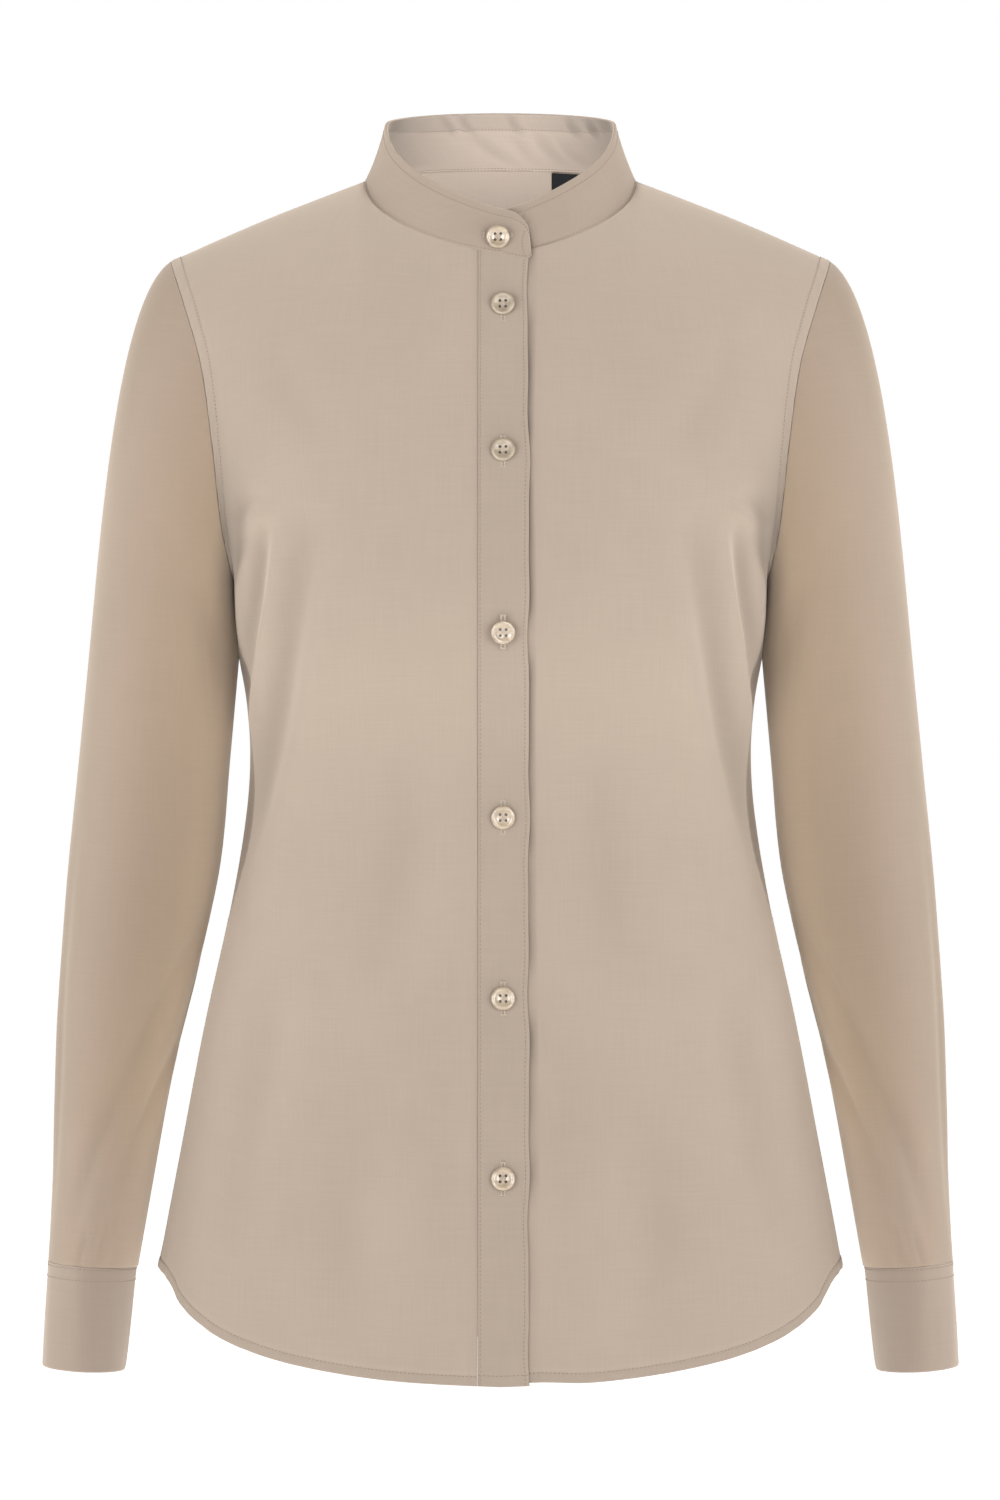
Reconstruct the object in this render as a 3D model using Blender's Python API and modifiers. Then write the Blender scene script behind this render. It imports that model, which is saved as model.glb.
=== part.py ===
"""Fitted shirt with a mandarin collar, filled out as worn: hollow cloth walls, buttoned.

The shirt faces -Y and the wearer's right is -X. The origin lies at the middle of the neck, level
with the points where the shoulder seams meet the collar. All sizes are in metres.

Each half is described by how far a point lies out from the middle ("out"), so one description
serves the wearer's right (side = -1) and left (side = +1).
"""

import math
from typing import NamedTuple

import bmesh
import bpy
import numpy as np
from mathutils import Vector

# ---------------------------------------------------------------- driving sizes
CLOTH = 0.0012  # wall of a single cloth panel
FACED = 0.0016  # wall of the faced pieces: placket, collar and cuffs
SEAM_GAP = 0.0003  # space between neighbouring pieces at a seam
RIDGE_GAP = 0.0006  # how far each wall draws back where two meet at an angle, as on the shoulders
LAP_LIFT = 0.00085  # how far each buttoned layer moves from the middle layer's place
BAND_LIFT = 0.0011  # the same for the collar's thicker ends
LAP_FLAT, LAP_FADE = 0.019, 0.048  # the lift is full up to the first distance, gone at the second

UNDERARM = -0.219  # height of the underarm points
HEM_SIDE = -0.594  # height of the hem at the side seams
HEM_DROP = 0.0535  # how much lower the hem lies at the middle
HEM_STEP = 0.0016  # the under front's hem ends this much higher beside the placket

NECK_HALF_WIDTH = 0.0744
NECK_FRONT, NECK_FRONT_HEIGHT = -0.064, -0.0445
NECK_BACK, NECK_BACK_HEIGHT = 0.050, 0.012
NECK_SIDE_HEIGHT = 0.001
NECKLINE_CLIMB = 1.4  # how the front neckline climbs to the shoulder: 1 is straight
LAP_DIP = 2.4  # fall of the lapped pieces' upper edge past the middle, in rises a metre
NECK_SHARE = 0.45  # share of a panel's top edge that the neckline takes, the shoulder has the rest

SHOULDER_TIP = (0.181, 0.003, -0.043)
SHOULDER_BOW = 0.0014
FRONT_NARROWING, BACK_NARROWING = math.radians(30), math.radians(40)  # of a level's turn
NARROWING_END = 0.5  # rise at which the levels reach their narrowest turn
ROLL_START = 0.35  # rise from which the levels bend up to the shoulder
ROLL_SPEED, ROLL_CLIMB = 1.5, 0.008  # how the columns arrive at the shoulder seam
CORNER_REACH, CORNER_FADE = 0.28, 4.0  # how the neckline's corner fades down the panel

BAND_TOP_HALF_WIDTH = 0.0630
BAND_TOP_FRONT, BAND_TOP_FRONT_HEIGHT = -0.052, -0.0190
BAND_TOP_BACK, BAND_TOP_BACK_HEIGHT = 0.044, 0.044
BAND_TOP_SIDE_HEIGHT = 0.0335
BAND_STRAIGHT, BAND_CLIMB = 0.4, 1.5  # share of its front climb that is straight, curve of the rest
BAND_BULGE = 0.0012
BAND_CORNER = 0.011  # radius of the band's rounded upper corners
BAND_OVER_END, BAND_UNDER_END = 0.0166, 0.0135  # reach of the band's two ends past the middle

PLACKET_IN, PLACKET_OUT = 0.0148, 0.0121  # reach to the wearer's left and right of the middle
PLACKET_RISE = 0.0004
UNDER_STAND = 0.012  # reach of the under front past the middle
LAP_COLUMNS = (-0.005, 0.004)  # distances out of the columns that the lapped layers share

SLEEVE_START = -0.262  # height from which the sleeve is a plain tube
HEAD_LEAVE_UNDER = np.array((0.002, 0.0, -0.040))  # how the sleeve head leaves the armhole below,
HEAD_LEAVE_TOP = np.array((0.090, 0.0, -0.060))  # at the shoulder,
HEAD_LEAVE_SIDE = np.array((0.020, 0.0, -0.020))  # and more of it at front and back,
HEAD_LEAVE_FRONT = 0.012  # forwards in front and backwards behind
HEAD_DROP_UNDER, HEAD_DROP_TOP = 0.043, 0.190  # length over which it becomes the tube
CUFF_TOP, CUFF_BOTTOM = -0.5912, -0.6473
CUFF_FRONT_RISE, CUFF_OUTER_RISE = 0.0015, 0.0015
CUFF_SPLIT = math.radians(212)  # where the cuff opens: inner back, counted from outside via front
CUFF_OVERLAP = math.radians(34)
CUFF_LIFT, CUFF_FADE = 0.00098, 1.1  # lift of each lapped cuff end, its fade in overlaps

BUTTON_RADIUS, BUTTON_THICK = 0.0065, 0.0024
CUFF_BUTTON_RADIUS = 0.0055
BUTTON_SIDES = 16
BUTTON_SOFTENING = 0.0007
RIM_ANGLE = math.radians(70)  # edges sharper than this are a button's rims
SMOOTH_ANGLE = math.radians(40)
BUTTON_LINE = -0.0013  # the buttons' distance out from the middle, on the wearer's right
FRONT_BUTTON_HEIGHTS = (-0.075, -0.154, -0.249, -0.347, -0.443, -0.538)
BAND_BUTTON_OUT, BAND_BUTTON_RISE = 0.0016, 0.35  # place on the collar, rise as a share of its height

LABEL_NEAR, LABEL_FAR = 0.029, 0.047
LABEL_LOW, LABEL_HIGH = 0.945, 0.992  # from underarm (0) to neckline (1)
LABEL_THICK = 0.0010

HEM_ROWS = 20
ARMHOLE_RISES = (0.0, 0.1, 0.2, 0.3, 0.4, 0.5, 0.6, 0.7, 0.8, 0.9, 0.96, 1.0)  # rows of the armhole
NECK_COLUMNS, SHOULDER_COLUMNS = 6, 6  # columns of half a panel below the neckline and shoulder
SLEEVE_HEAD_ROWS, SLEEVE_ROWS = 7, 16
BAND_ROWS = 3
BAND_END_TURNS = (0.0, 0.03, 0.08, 0.14)  # columns that round the band's ends, in radians
CUFF_COLUMNS, CUFF_ROWS = 24, 2

NORMAL_STEP = 0.004  # step to the points that a surface's normal is taken from
SLOPE_STEP = 0.01  # step over which the slope of a curve is taken, as a share of its length
FIRST_GUESS_WIDTH, GUESS_ROUNDS = 0.2, 6  # start and rounds of the search for a column
WELD = 1e-6  # points closer than this become one where a tube closes

RIGHT, LEFT = -1, 1


class Level(NamedTuple):
    """One level of the body below the underarms. A fullness below 1 is squarer than an ellipse."""

    height: float
    half_width: float
    front: float
    back: float
    seam: float
    front_fullness: float
    back_fullness: float


class HemStop(NamedTuple):
    """The hem's share of its whole drop, a way across from the middle (0) to the side seam (1)."""

    across: float
    drop: float


class Rung(NamedTuple):
    """A depth or a distance out at one height."""

    height: float
    value: float


class SleeveLevel(NamedTuple):
    """One level of the sleeve tube."""

    height: float
    outer: float
    inner: float
    middle: float
    half_depth: float


class Fold(NamedTuple):
    """A long trough in a panel, from its low end to its high end, with a ridge beside it."""

    low: tuple
    middle: tuple
    high: tuple
    depth: float
    width: float
    ridge: float
    ridge_shift: float


class Twist(NamedTuple):
    """A trough that winds along a sleeve. Angles run from outside via the front, in degrees."""

    low: float
    low_angle: float
    high: float
    high_angle: float
    depth: float
    width: float


BODY_LEVELS = (
    #     height  half_width  front   back   seam  front_fullness  back_fullness
    Level(-0.660, 0.1985, -0.1185, 0.1265, 0.004, 0.84, 0.86),
    Level(-0.594, 0.1875, -0.1165, 0.1210, 0.004, 0.84, 0.86),
    Level(-0.525, 0.1745, -0.1120, 0.1140, 0.003, 0.84, 0.86),
    Level(-0.460, 0.1620, -0.1080, 0.1050, 0.002, 0.84, 0.86),
    Level(-0.394, 0.1475, -0.1045, 0.0930, 0.001, 0.84, 0.86),
    Level(-0.345, 0.1395, -0.1040, 0.0850, 0.000, 0.84, 0.86),
    Level(-0.312, 0.1375, -0.1080, 0.0840, 0.000, 0.81, 0.84),
    Level(-0.284, 0.1396, -0.1170, 0.0880, 0.000, 0.76, 0.80),
    Level(-0.250, 0.1440, -0.1285, 0.0950, 0.001, 0.68, 0.74),
    Level(-0.219, 0.1455, -0.1305, 0.1000, 0.002, 0.62, 0.70),
)

HEM_CURVE = (
    #       across drop
    HemStop(0.00, 1.000),
    HemStop(0.20, 0.945),
    HemStop(0.40, 0.800),
    HemStop(0.55, 0.620),
    HemStop(0.65, 0.448),
    HemStop(0.72, 0.305),
    HemStop(0.79, 0.120),
    HemStop(0.88, 0.022),
    HemStop(1.00, 0.000),
)

FRONT_MIDDLE = (Rung(-0.219, -0.1305), Rung(-0.180, -0.1255), Rung(-0.150, -0.1165),
                Rung(-0.120, -0.1050), Rung(-0.090, -0.0895), Rung(-0.0445, -0.0640))
BACK_MIDDLE = (Rung(-0.219, 0.1000), Rung(-0.180, 0.1020), Rung(-0.140, 0.1010),
               Rung(-0.100, 0.0960), Rung(-0.060, 0.0850), Rung(-0.020, 0.0670),
               Rung(0.012, 0.0500))
ARMHOLE_OUT = (Rung(-0.219, 0.1455), Rung(-0.190, 0.1507), Rung(-0.150, 0.1550),
               Rung(-0.104, 0.1617), Rung(-0.072, 0.1710), Rung(-0.043, 0.1810))
ARMHOLE_FRONT, ARMHOLE_BACK = -0.061, 0.060  # how far the armhole bows to the front and the back
ARMHOLE_LEAN, ARMHOLE_FULLNESS = 0.8, 0.9  # place and roundness of that bow, 1 is a plain arc
NARROWING_FADE = 2.2  # how fast the levels narrow above the underarm

SLEEVE_LEVELS = (
    #           height   outer    inner   middle  half_depth
    SleeveLevel(-0.592, 0.2467, 0.1976, -0.020, 0.041),
    SleeveLevel(-0.547, 0.2445, 0.1900, -0.013, 0.044),
    SleeveLevel(-0.503, 0.2440, 0.1825, -0.006, 0.047),
    SleeveLevel(-0.460, 0.2430, 0.1740, 0.001, 0.050),
    SleeveLevel(-0.416, 0.2405, 0.1630, 0.006, 0.053),
    SleeveLevel(-0.372, 0.2375, 0.1540, 0.008, 0.056),
    SleeveLevel(-0.317, 0.2320, 0.1490, 0.008, 0.060),
    SleeveLevel(-0.262, 0.2265, 0.1455, 0.006, 0.062),
)
CUFF_LEVELS = (
    SleeveLevel(-0.648, 0.2500, 0.2046, -0.024, 0.0395),
    SleeveLevel(-0.591, 0.2478, 0.1975, -0.020, 0.0410),
)

FRONT_FOLDS = (
    #    low             middle            high             depth  width  ridge  ridge_shift
    Fold((0.143, -0.391), (0.121, -0.315), (0.094, -0.210), 0.0040, 0.011, 0.0022, -0.018),
    Fold((0.136, -0.292), (0.128, -0.243), (0.118, -0.196), 0.0030, 0.008, 0.0014, -0.012),
)
BACK_FOLDS = (
    Fold((0.120, -0.410), (0.104, -0.325), (0.078, -0.235), 0.0030, 0.011, 0.0016, -0.018),
    Fold((0.060, -0.380), (0.047, -0.320), (0.030, -0.262), 0.0022, 0.012, 0.0012, -0.020),
)
SLEEVE_TWISTS = (
    #     low     angle   high    angle depth  width
    Twist(-0.580, 68.0, -0.392, 160.0, 0.0034, 20.0),
    Twist(-0.520, 250.0, -0.420, 205.0, 0.0026, 22.0),
    Twist(-0.300, 150.0, -0.215, 120.0, 0.0024, 18.0),
)


# ---------------------------------------------------------------- curves
def smooth_between(knots, values, at):
    """Read a smooth curve through (knot, value) pairs, whose knots rise."""
    last = len(knots) - 1
    at = min(max(at, knots[0]), knots[last])
    index = min(max(int(np.searchsorted(knots, at)) - 1, 0), last - 1)

    def slope(place):
        before, after = max(place - 1, 0), min(place + 1, last)
        return (values[after] - values[before]) / (knots[after] - knots[before])

    span = knots[index + 1] - knots[index]
    share = (at - knots[index]) / span
    return hermite(values[index], slope(index) * span,
                   values[index + 1], slope(index + 1) * span, share)


def hermite(start, leave, end, arrive, share):
    """Blend from start to end with the given speeds at both ends."""
    square, cube = share * share, share * share * share
    return (start * (2 * cube - 3 * square + 1) + leave * (cube - 2 * square + share)
            + end * (3 * square - 2 * cube) + arrive * (cube - square))


def ease(share):
    """Rise smoothly from 0 to 1."""
    share = min(max(share, 0.0), 1.0)
    return share * share * (3 - 2 * share)


def column(table, name, height):
    """Read one named column of a table at a height."""
    return smooth_between([row.height for row in table], [getattr(row, name) for row in table],
                          height)


def bell(distance, width):
    """Fall smoothly from 1 at the middle to about 0 at twice the width."""
    return math.exp(-(distance / width) ** 2)


# ---------------------------------------------------------------- the body's surface
def hem_height(across):
    """Give the hem's height: low at the middle, rising in an S to the side seam."""
    acrosses = [stop.across for stop in HEM_CURVE]
    return HEM_SIDE - HEM_DROP * smooth_between(acrosses, [stop.drop for stop in HEM_CURVE],
                                                abs(across))


def body_level(face, across, height):
    """Give a point of the body below the underarms: across is 0 at the middle, 1 at the seam."""
    turn = across * math.pi / 2
    fullness = column(BODY_LEVELS, face + "_fullness", height)
    seam = column(BODY_LEVELS, "seam", height)
    middle = column(BODY_LEVELS, face, height)
    half_width = column(BODY_LEVELS, "half_width", height)
    depth = seam + (middle - seam) * max(math.cos(turn), 0.0) ** fullness
    return np.array((half_width * math.sin(turn), depth, height))


def armhole(face, rise):
    """Give a point of the armhole: rise is 0 at the underarm and 1 at the shoulder tip."""
    tip = SHOULDER_TIP[2]
    height = UNDERARM + (tip - UNDERARM) * (1 - math.cos(math.pi * rise)) / 2
    bow = ARMHOLE_FRONT if face == "front" else ARMHOLE_BACK
    underarm_depth = column(BODY_LEVELS, "seam", UNDERARM)
    depth = underarm_depth + (SHOULDER_TIP[1] - underarm_depth) * rise
    if 0 < rise < 1:
        depth += bow * math.sin(math.pi * rise ** ARMHOLE_LEAN) ** ARMHOLE_FULLNESS
    return np.array((column(ARMHOLE_OUT, "value", height), depth, height))


def top_edge(face, across):
    """Give a point of the neckline, then of the shoulder seam, up to the shoulder tip."""
    if across < NECK_SHARE:
        share = across / NECK_SHARE
        turn = share * math.pi / 2
        if face == "front":
            depth = NECK_FRONT * math.cos(turn)
            climb = abs(share) ** NECKLINE_CLIMB
            height = NECK_FRONT_HEIGHT + (NECK_SIDE_HEIGHT - NECK_FRONT_HEIGHT) * climb
        else:
            depth = NECK_BACK * math.cos(turn)
            height = NECK_SIDE_HEIGHT + (NECK_BACK_HEIGHT - NECK_SIDE_HEIGHT) * math.cos(turn)
        return np.array((NECK_HALF_WIDTH * math.sin(turn), depth, height))
    share = (across - NECK_SHARE) / (1 - NECK_SHARE)
    neck_point = np.array((NECK_HALF_WIDTH, 0.0, NECK_SIDE_HEIGHT))
    point = neck_point + (np.array(SHOULDER_TIP) - neck_point) * share
    point[2] += SHOULDER_BOW * math.sin(math.pi * share)
    return point


def soft_top_edge(face, across):
    """Give the top edge with its corner at the shoulder's neck end rounded off."""
    reach = CORNER_REACH * math.sin(math.pi * abs(across))
    spots = (-1.0, -0.5, 0.0, 0.5, 1.0)
    return sum(top_edge(face, across + reach * spot) for spot in spots) / len(spots)


def middle_point(face, rise):
    """Give a point of the middle line between the underarm level and the neckline."""
    table = FRONT_MIDDLE if face == "front" else BACK_MIDDLE
    top = NECK_FRONT_HEIGHT if face == "front" else NECK_BACK_HEIGHT
    height = UNDERARM + (top - UNDERARM) * rise
    return np.array((0.0, column(table, "value", height), height))


def chest_section(face, across, rise):
    """Give a point of a level above the underarms, from the middle line to the armhole."""
    fullness = column(BODY_LEVELS, face + "_fullness", UNDERARM)
    narrowing = FRONT_NARROWING if face == "front" else BACK_NARROWING
    middle, edge = middle_point(face, rise), armhole(face, rise)
    left = max(1 - rise / NARROWING_END, 0.0) ** NARROWING_FADE
    widest = math.pi / 2 - narrowing * (1 - left)
    turn = across * widest
    edge_share = max(math.cos(widest), 0.0) ** fullness
    share = (max(math.cos(turn), 0.0) ** fullness - edge_share) / (1 - edge_share)
    return np.array((edge[0] * math.sin(turn) / math.sin(widest),
                     edge[1] + (middle[1] - edge[1]) * share,
                     middle[2] + (edge[2] - middle[2]) * across ** 2))


def shoulder_roll(face, across, share):
    """Give a point between the chest and the top edge on a column that rolls over the shoulder."""
    start, end = chest_section(face, across, ROLL_START), soft_top_edge(face, across)
    reach = (1 - ROLL_START) / SLOPE_STEP
    leave = (start - chest_section(face, across, ROLL_START - SLOPE_STEP)) * reach
    neck_way = (middle_point(face, 1.0) - middle_point(face, 1.0 - SLOPE_STEP)) * reach
    shoulder_way = np.array((0.0, ROLL_SPEED * (end[1] - start[1]), ROLL_CLIMB))
    arrive = neck_way + (shoulder_way - neck_way) * ease(abs(across) / NECK_SHARE)
    corner = top_edge(face, across) - end
    return hermite(start, leave, end, arrive, share) + corner * share ** CORNER_FADE


def upper_body(face, across, rise):
    """Give a point above the underarms, held to the middle line and to the armhole."""
    if rise <= ROLL_START:
        return chest_section(face, across, rise)
    share = (rise - ROLL_START) / (1 - ROLL_START)
    point = shoulder_roll(face, across, share)
    point += (middle_point(face, rise) - shoulder_roll(face, 0.0, share)) * (1 - across ** 2) ** 2
    return point + (armhole(face, rise) - shoulder_roll(face, 1.0, share)) * across ** 2


def body_point(face, across, row):
    """Give a point of a panel: row runs from -1 at the hem over 0 at the underarm to 1 on top."""
    if row > 0:
        return upper_body(face, across, row)
    hem = hem_height(across)
    return body_level(face, across, hem + (UNDERARM - hem) * (row + 1))


def dipped(row, out):
    """Lower a row above the underarm where it runs past the middle, as the lapped edge does."""
    return row * (1 + LAP_DIP * min(out, 0.0)) if row > 0 else row


def across_at(face, out, row):
    """Find how far across a column lies that runs at a given distance out near the middle."""
    across = out / FIRST_GUESS_WIDTH
    for _ in range(GUESS_ROUNDS):
        across *= out / body_point(face, across, row)[0]
    return across


def panel_rows():
    """List the rows of a panel, from the hem to the top."""
    return [index / HEM_ROWS - 1 for index in range(HEM_ROWS)] + list(ARMHOLE_RISES)


# ---------------------------------------------------------------- grids of points
def grid_normals(grid):
    """Give each grid point's normal, as rows cross columns."""
    along, across = np.gradient(grid, axis=0), np.gradient(grid, axis=1)
    normals = np.cross(across, along)
    return normals / np.linalg.norm(normals, axis=2, keepdims=True)


def move_along_normals(grid, amount):
    """Move each point of a body grid outwards by amount(point)."""
    normals = grid_normals(grid)
    middle = np.array((0.0, 0.0, grid[:, :, 2].mean()))
    outward = np.sign(np.sum(normals * (grid - middle), axis=2).mean())
    amounts = np.apply_along_axis(amount, 2, grid)
    return grid + normals * outward * amounts[:, :, None]


def draw_in(grid, side, gap):
    """Pull one edge of a grid back along the grid's own lines by a gap."""
    grid = grid.copy()
    edge, inner = {"first": ((slice(None), 0), (slice(None), 1)),
                   "last": ((slice(None), -1), (slice(None), -2)),
                   "top": ((-1,), (-2,))}[side]
    way = grid[inner] - grid[edge]
    grid[edge] += way / np.linalg.norm(way, axis=-1, keepdims=True) * gap
    return grid


def lap_share(out):
    """Give the share of the lap's lift at a distance out from the middle."""
    return 1 - ease((abs(out) - LAP_FLAT) / (LAP_FADE - LAP_FLAT))


def fold_shape(folds, point):
    """Give how far a panel's folds push a point out."""
    total = 0.0
    for fold in folds:
        heights = (fold.low[1], fold.middle[1], fold.high[1])
        outs = (fold.low[0], fold.middle[0], fold.high[0])
        share = (point[2] - heights[0]) / (heights[2] - heights[0])
        if not 0 < share < 1:
            continue
        strength = math.sin(math.pi * share) ** 0.8
        off = abs(point[0]) - smooth_between(heights, outs, point[2])
        total -= strength * fold.depth * bell(off, fold.width)
        total += strength * fold.ridge * bell(off - fold.ridge_shift, fold.width)
    return total


def panel_steps(start):
    """List how far across the columns lie after a first one, with one at the neckline's end."""
    neck = [start + (NECK_SHARE - start) * (index + 1) / NECK_COLUMNS
            for index in range(NECK_COLUMNS)]
    return neck + [NECK_SHARE + (1 - NECK_SHARE) * (index + 1) / SHOULDER_COLUMNS
                   for index in range(SHOULDER_COLUMNS)]


def front_grid(outs, lift, hem_raise=0.0, to_seam=True):
    """Work out a front piece's points: columns at given distances out, then those to the seam."""
    grid = []
    for row in panel_rows():
        line = [body_point("front", across_at("front", out, row), dipped(row, out))
                for out in outs]
        steps = panel_steps(across_at("front", outs[-1], row)) if to_seam else []
        grid.append(line + [body_point("front", across, row) for across in steps])
    grid = np.array(grid)
    grid[0, :, 2] += [hem_raise * lap_share(point[0]) for point in grid[0]]
    return move_along_normals(
        grid, lambda point: lift * lap_share(point[0]) + fold_shape(FRONT_FOLDS, point))


def back_grid():
    """Work out the back's points, from the wearer's right side to the left."""
    half = np.array([[body_point("back", across, row) for across in [0.0] + panel_steps(0.0)]
                     for row in panel_rows()])
    mirrored = half[:, :0:-1] * (-1, 1, 1)
    grid = np.concatenate((mirrored, half), axis=1)
    return move_along_normals(grid, lambda point: fold_shape(BACK_FOLDS, point))


# ---------------------------------------------------------------- sleeves and cuffs
def tube_point(levels, turn, height):
    """Give a point of a sleeve or cuff: turn is 0 outside and a quarter turn in front."""
    outer, inner = column(levels, "outer", height), column(levels, "inner", height)
    middle, half_depth = column(levels, "middle", height), column(levels, "half_depth", height)
    return np.array(((outer + inner) / 2 + (outer - inner) / 2 * math.cos(turn),
                     middle - half_depth * math.sin(turn), height))


def cuff_edge(height, turn):
    """Tilt a cuff's edge: its front and its outer side lie a little higher."""
    return height + CUFF_FRONT_RISE * math.sin(turn) + CUFF_OUTER_RISE * math.cos(turn)


def sleeve_head(turn, share):
    """Give a point between the armhole and the plain tube."""
    upper = (1 + math.cos(turn)) / 2
    half_turns = turn / math.pi
    start = armhole("front", 1 - half_turns) if half_turns <= 1 else armhole("back", half_turns - 1)
    start = start + np.array((SEAM_GAP * (1.8 + upper), 0.0, 0.0))
    bulge = math.sin(turn) ** 2
    leave = HEAD_LEAVE_UNDER + (HEAD_LEAVE_TOP - HEAD_LEAVE_UNDER) * upper
    leave = leave + HEAD_LEAVE_SIDE * bulge
    leave[1] -= HEAD_LEAVE_FRONT * math.sin(turn)
    end = tube_point(SLEEVE_LEVELS, turn, SLEEVE_START)
    arrive = (tube_point(SLEEVE_LEVELS, turn, SLEEVE_START - SLOPE_STEP) - end) / SLOPE_STEP
    arrive = arrive * (HEAD_DROP_UNDER + (HEAD_DROP_TOP - HEAD_DROP_UNDER) * upper)
    return hermite(start, leave, end, arrive, share)


def twist_shape(turn, height):
    """Give how far a sleeve's folds push a point out."""
    total = 0.0
    for twist in SLEEVE_TWISTS:
        share = (height - twist.low) / (twist.high - twist.low)
        if not 0 < share < 1:
            continue
        middle = twist.low_angle + (twist.high_angle - twist.low_angle) * share
        off = (math.degrees(turn) - middle + 180) % 360 - 180
        strength = math.sin(math.pi * share) ** 0.7
        total -= strength * twist.depth * bell(off, twist.width)
        total += strength * twist.depth * 0.5 * bell(off - 1.8 * twist.width, twist.width)
    return total


def sleeve_grid():
    """Work out a sleeve's points, from the cuff up to the armhole."""
    front = [math.pi * (1 - rise) for rise in reversed(ARMHOLE_RISES)]
    turns = front + [math.pi * (1 + rise) for rise in ARMHOLE_RISES[1:-1]]
    grid = []
    for index in range(SLEEVE_ROWS):
        ring = []
        for turn in turns:
            low = cuff_edge(CUFF_TOP, turn) + SEAM_GAP
            height = low + (SLEEVE_START - low) * index / SLEEVE_ROWS
            point = tube_point(SLEEVE_LEVELS, turn, height)
            push = twist_shape(turn, height)
            ring.append(point + push * np.array((math.cos(turn), -math.sin(turn), 0.0)))
        grid.append(ring)
    for index in range(SLEEVE_HEAD_ROWS + 1):
        share = 1 - index / SLEEVE_HEAD_ROWS
        ring = []
        for turn in turns:
            point = sleeve_head(turn, share)
            push = twist_shape(turn, point[2]) * share
            ring.append(point + push * np.array((math.cos(turn), -math.sin(turn), 0.0)))
        grid.append(ring)
    return np.array([ring + [ring[0]] for ring in grid])


def cuff_point(share, rise):
    """Give a point of a cuff: share runs round it and past its own start, rise is 0 at its foot."""
    turn = CUFF_SPLIT + share * (2 * math.pi + CUFF_OVERLAP)
    foot, top = cuff_edge(CUFF_BOTTOM, turn), cuff_edge(CUFF_TOP, turn)
    height = foot + (top - foot) * rise
    point = tube_point(CUFF_LEVELS, turn, height)
    lap = CUFF_OVERLAP / (2 * math.pi + CUFF_OVERLAP)
    flat, fade = 2 * CUFF_FADE * lap, CUFF_FADE * lap
    lift = CUFF_LIFT * (ease((share - 1 + flat) / fade) - ease((flat - share) / fade))
    return point + lift * np.array((math.cos(turn), -math.sin(turn), 0.0))


def cuff_grid():
    """Work out a cuff's points."""
    return np.array([[cuff_point(column_index / CUFF_COLUMNS, row / CUFF_ROWS)
                      for column_index in range(CUFF_COLUMNS + 1)]
                     for row in range(CUFF_ROWS + 1)])


# ---------------------------------------------------------------- collar
def from_front(turn):
    """Give the angle from the middle front, negative past it at either end of the band."""
    return turn if turn <= math.pi else 2 * math.pi - turn


def band_foot(turn):
    """Give a point of the collar's lower edge, just above the neckline."""
    angle = from_front(turn)
    side = 1 if turn <= math.pi else -1
    if angle < 0:
        out = NECK_HALF_WIDTH * math.sin(angle)
        rise = dipped(1.0, out)
        point = body_point("front", across_at("front", out, rise), rise)
        point[2] += SEAM_GAP
        return point * (side, 1, 1)
    share = min(angle, math.pi - angle) / (math.pi / 2) * NECK_SHARE
    point = top_edge("front" if angle < math.pi / 2 else "back", share)
    return point * (side * (1 - SEAM_GAP / NECK_HALF_WIDTH), 1, 1) + np.array((0.0, 0.0, SEAM_GAP))


def band_top(turn):
    """Give a point of the collar's upper edge."""
    angle = from_front(turn)
    quarter = angle / (math.pi / 2)
    if quarter <= 1:
        depth = BAND_TOP_FRONT * math.cos(angle)
        curved = quarter ** BAND_CLIMB if quarter > 0 else 0.0
        share = BAND_STRAIGHT * quarter + (1 - BAND_STRAIGHT) * curved
        height = BAND_TOP_FRONT_HEIGHT + (BAND_TOP_SIDE_HEIGHT - BAND_TOP_FRONT_HEIGHT) * share
    else:
        depth = -BAND_TOP_BACK * math.cos(angle)
        height = BAND_TOP_SIDE_HEIGHT - (BAND_TOP_BACK_HEIGHT - BAND_TOP_SIDE_HEIGHT) * math.cos(angle)
    return np.array((BAND_TOP_HALF_WIDTH * math.sin(turn), depth, height))


def band_corner(distance, height):
    """Give the share of the band's height that is left near a rounded end."""
    if distance >= BAND_CORNER:
        return 1.0
    inset = BAND_CORNER - max(distance, 0.0)
    return 1 - (BAND_CORNER - math.sqrt(BAND_CORNER ** 2 - inset ** 2)) / height


def band_point(turn, rise):
    """Give a point of the collar: the turn starts under the wearer's right and runs via the left."""
    foot, top = band_foot(turn), band_top(turn)
    slant = top - foot
    height = float(np.linalg.norm(slant))
    end = BAND_UNDER_END if turn <= math.pi else BAND_OVER_END
    from_middle = NECK_HALF_WIDTH * math.sin(from_front(turn)) if abs(from_front(turn)) < 1 else 1.0
    rise *= band_corner(from_middle + end, height)
    outward = np.array((math.sin(turn), -math.cos(turn), 0.0))
    along = slant / height
    outward -= along * float(outward @ along)
    outward /= float(np.linalg.norm(outward))
    lift = (BAND_LIFT if turn > math.pi else -BAND_LIFT) * lap_share(from_middle)
    return foot + slant * rise + outward * (lift + BAND_BULGE * math.sin(math.pi * rise))


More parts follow.
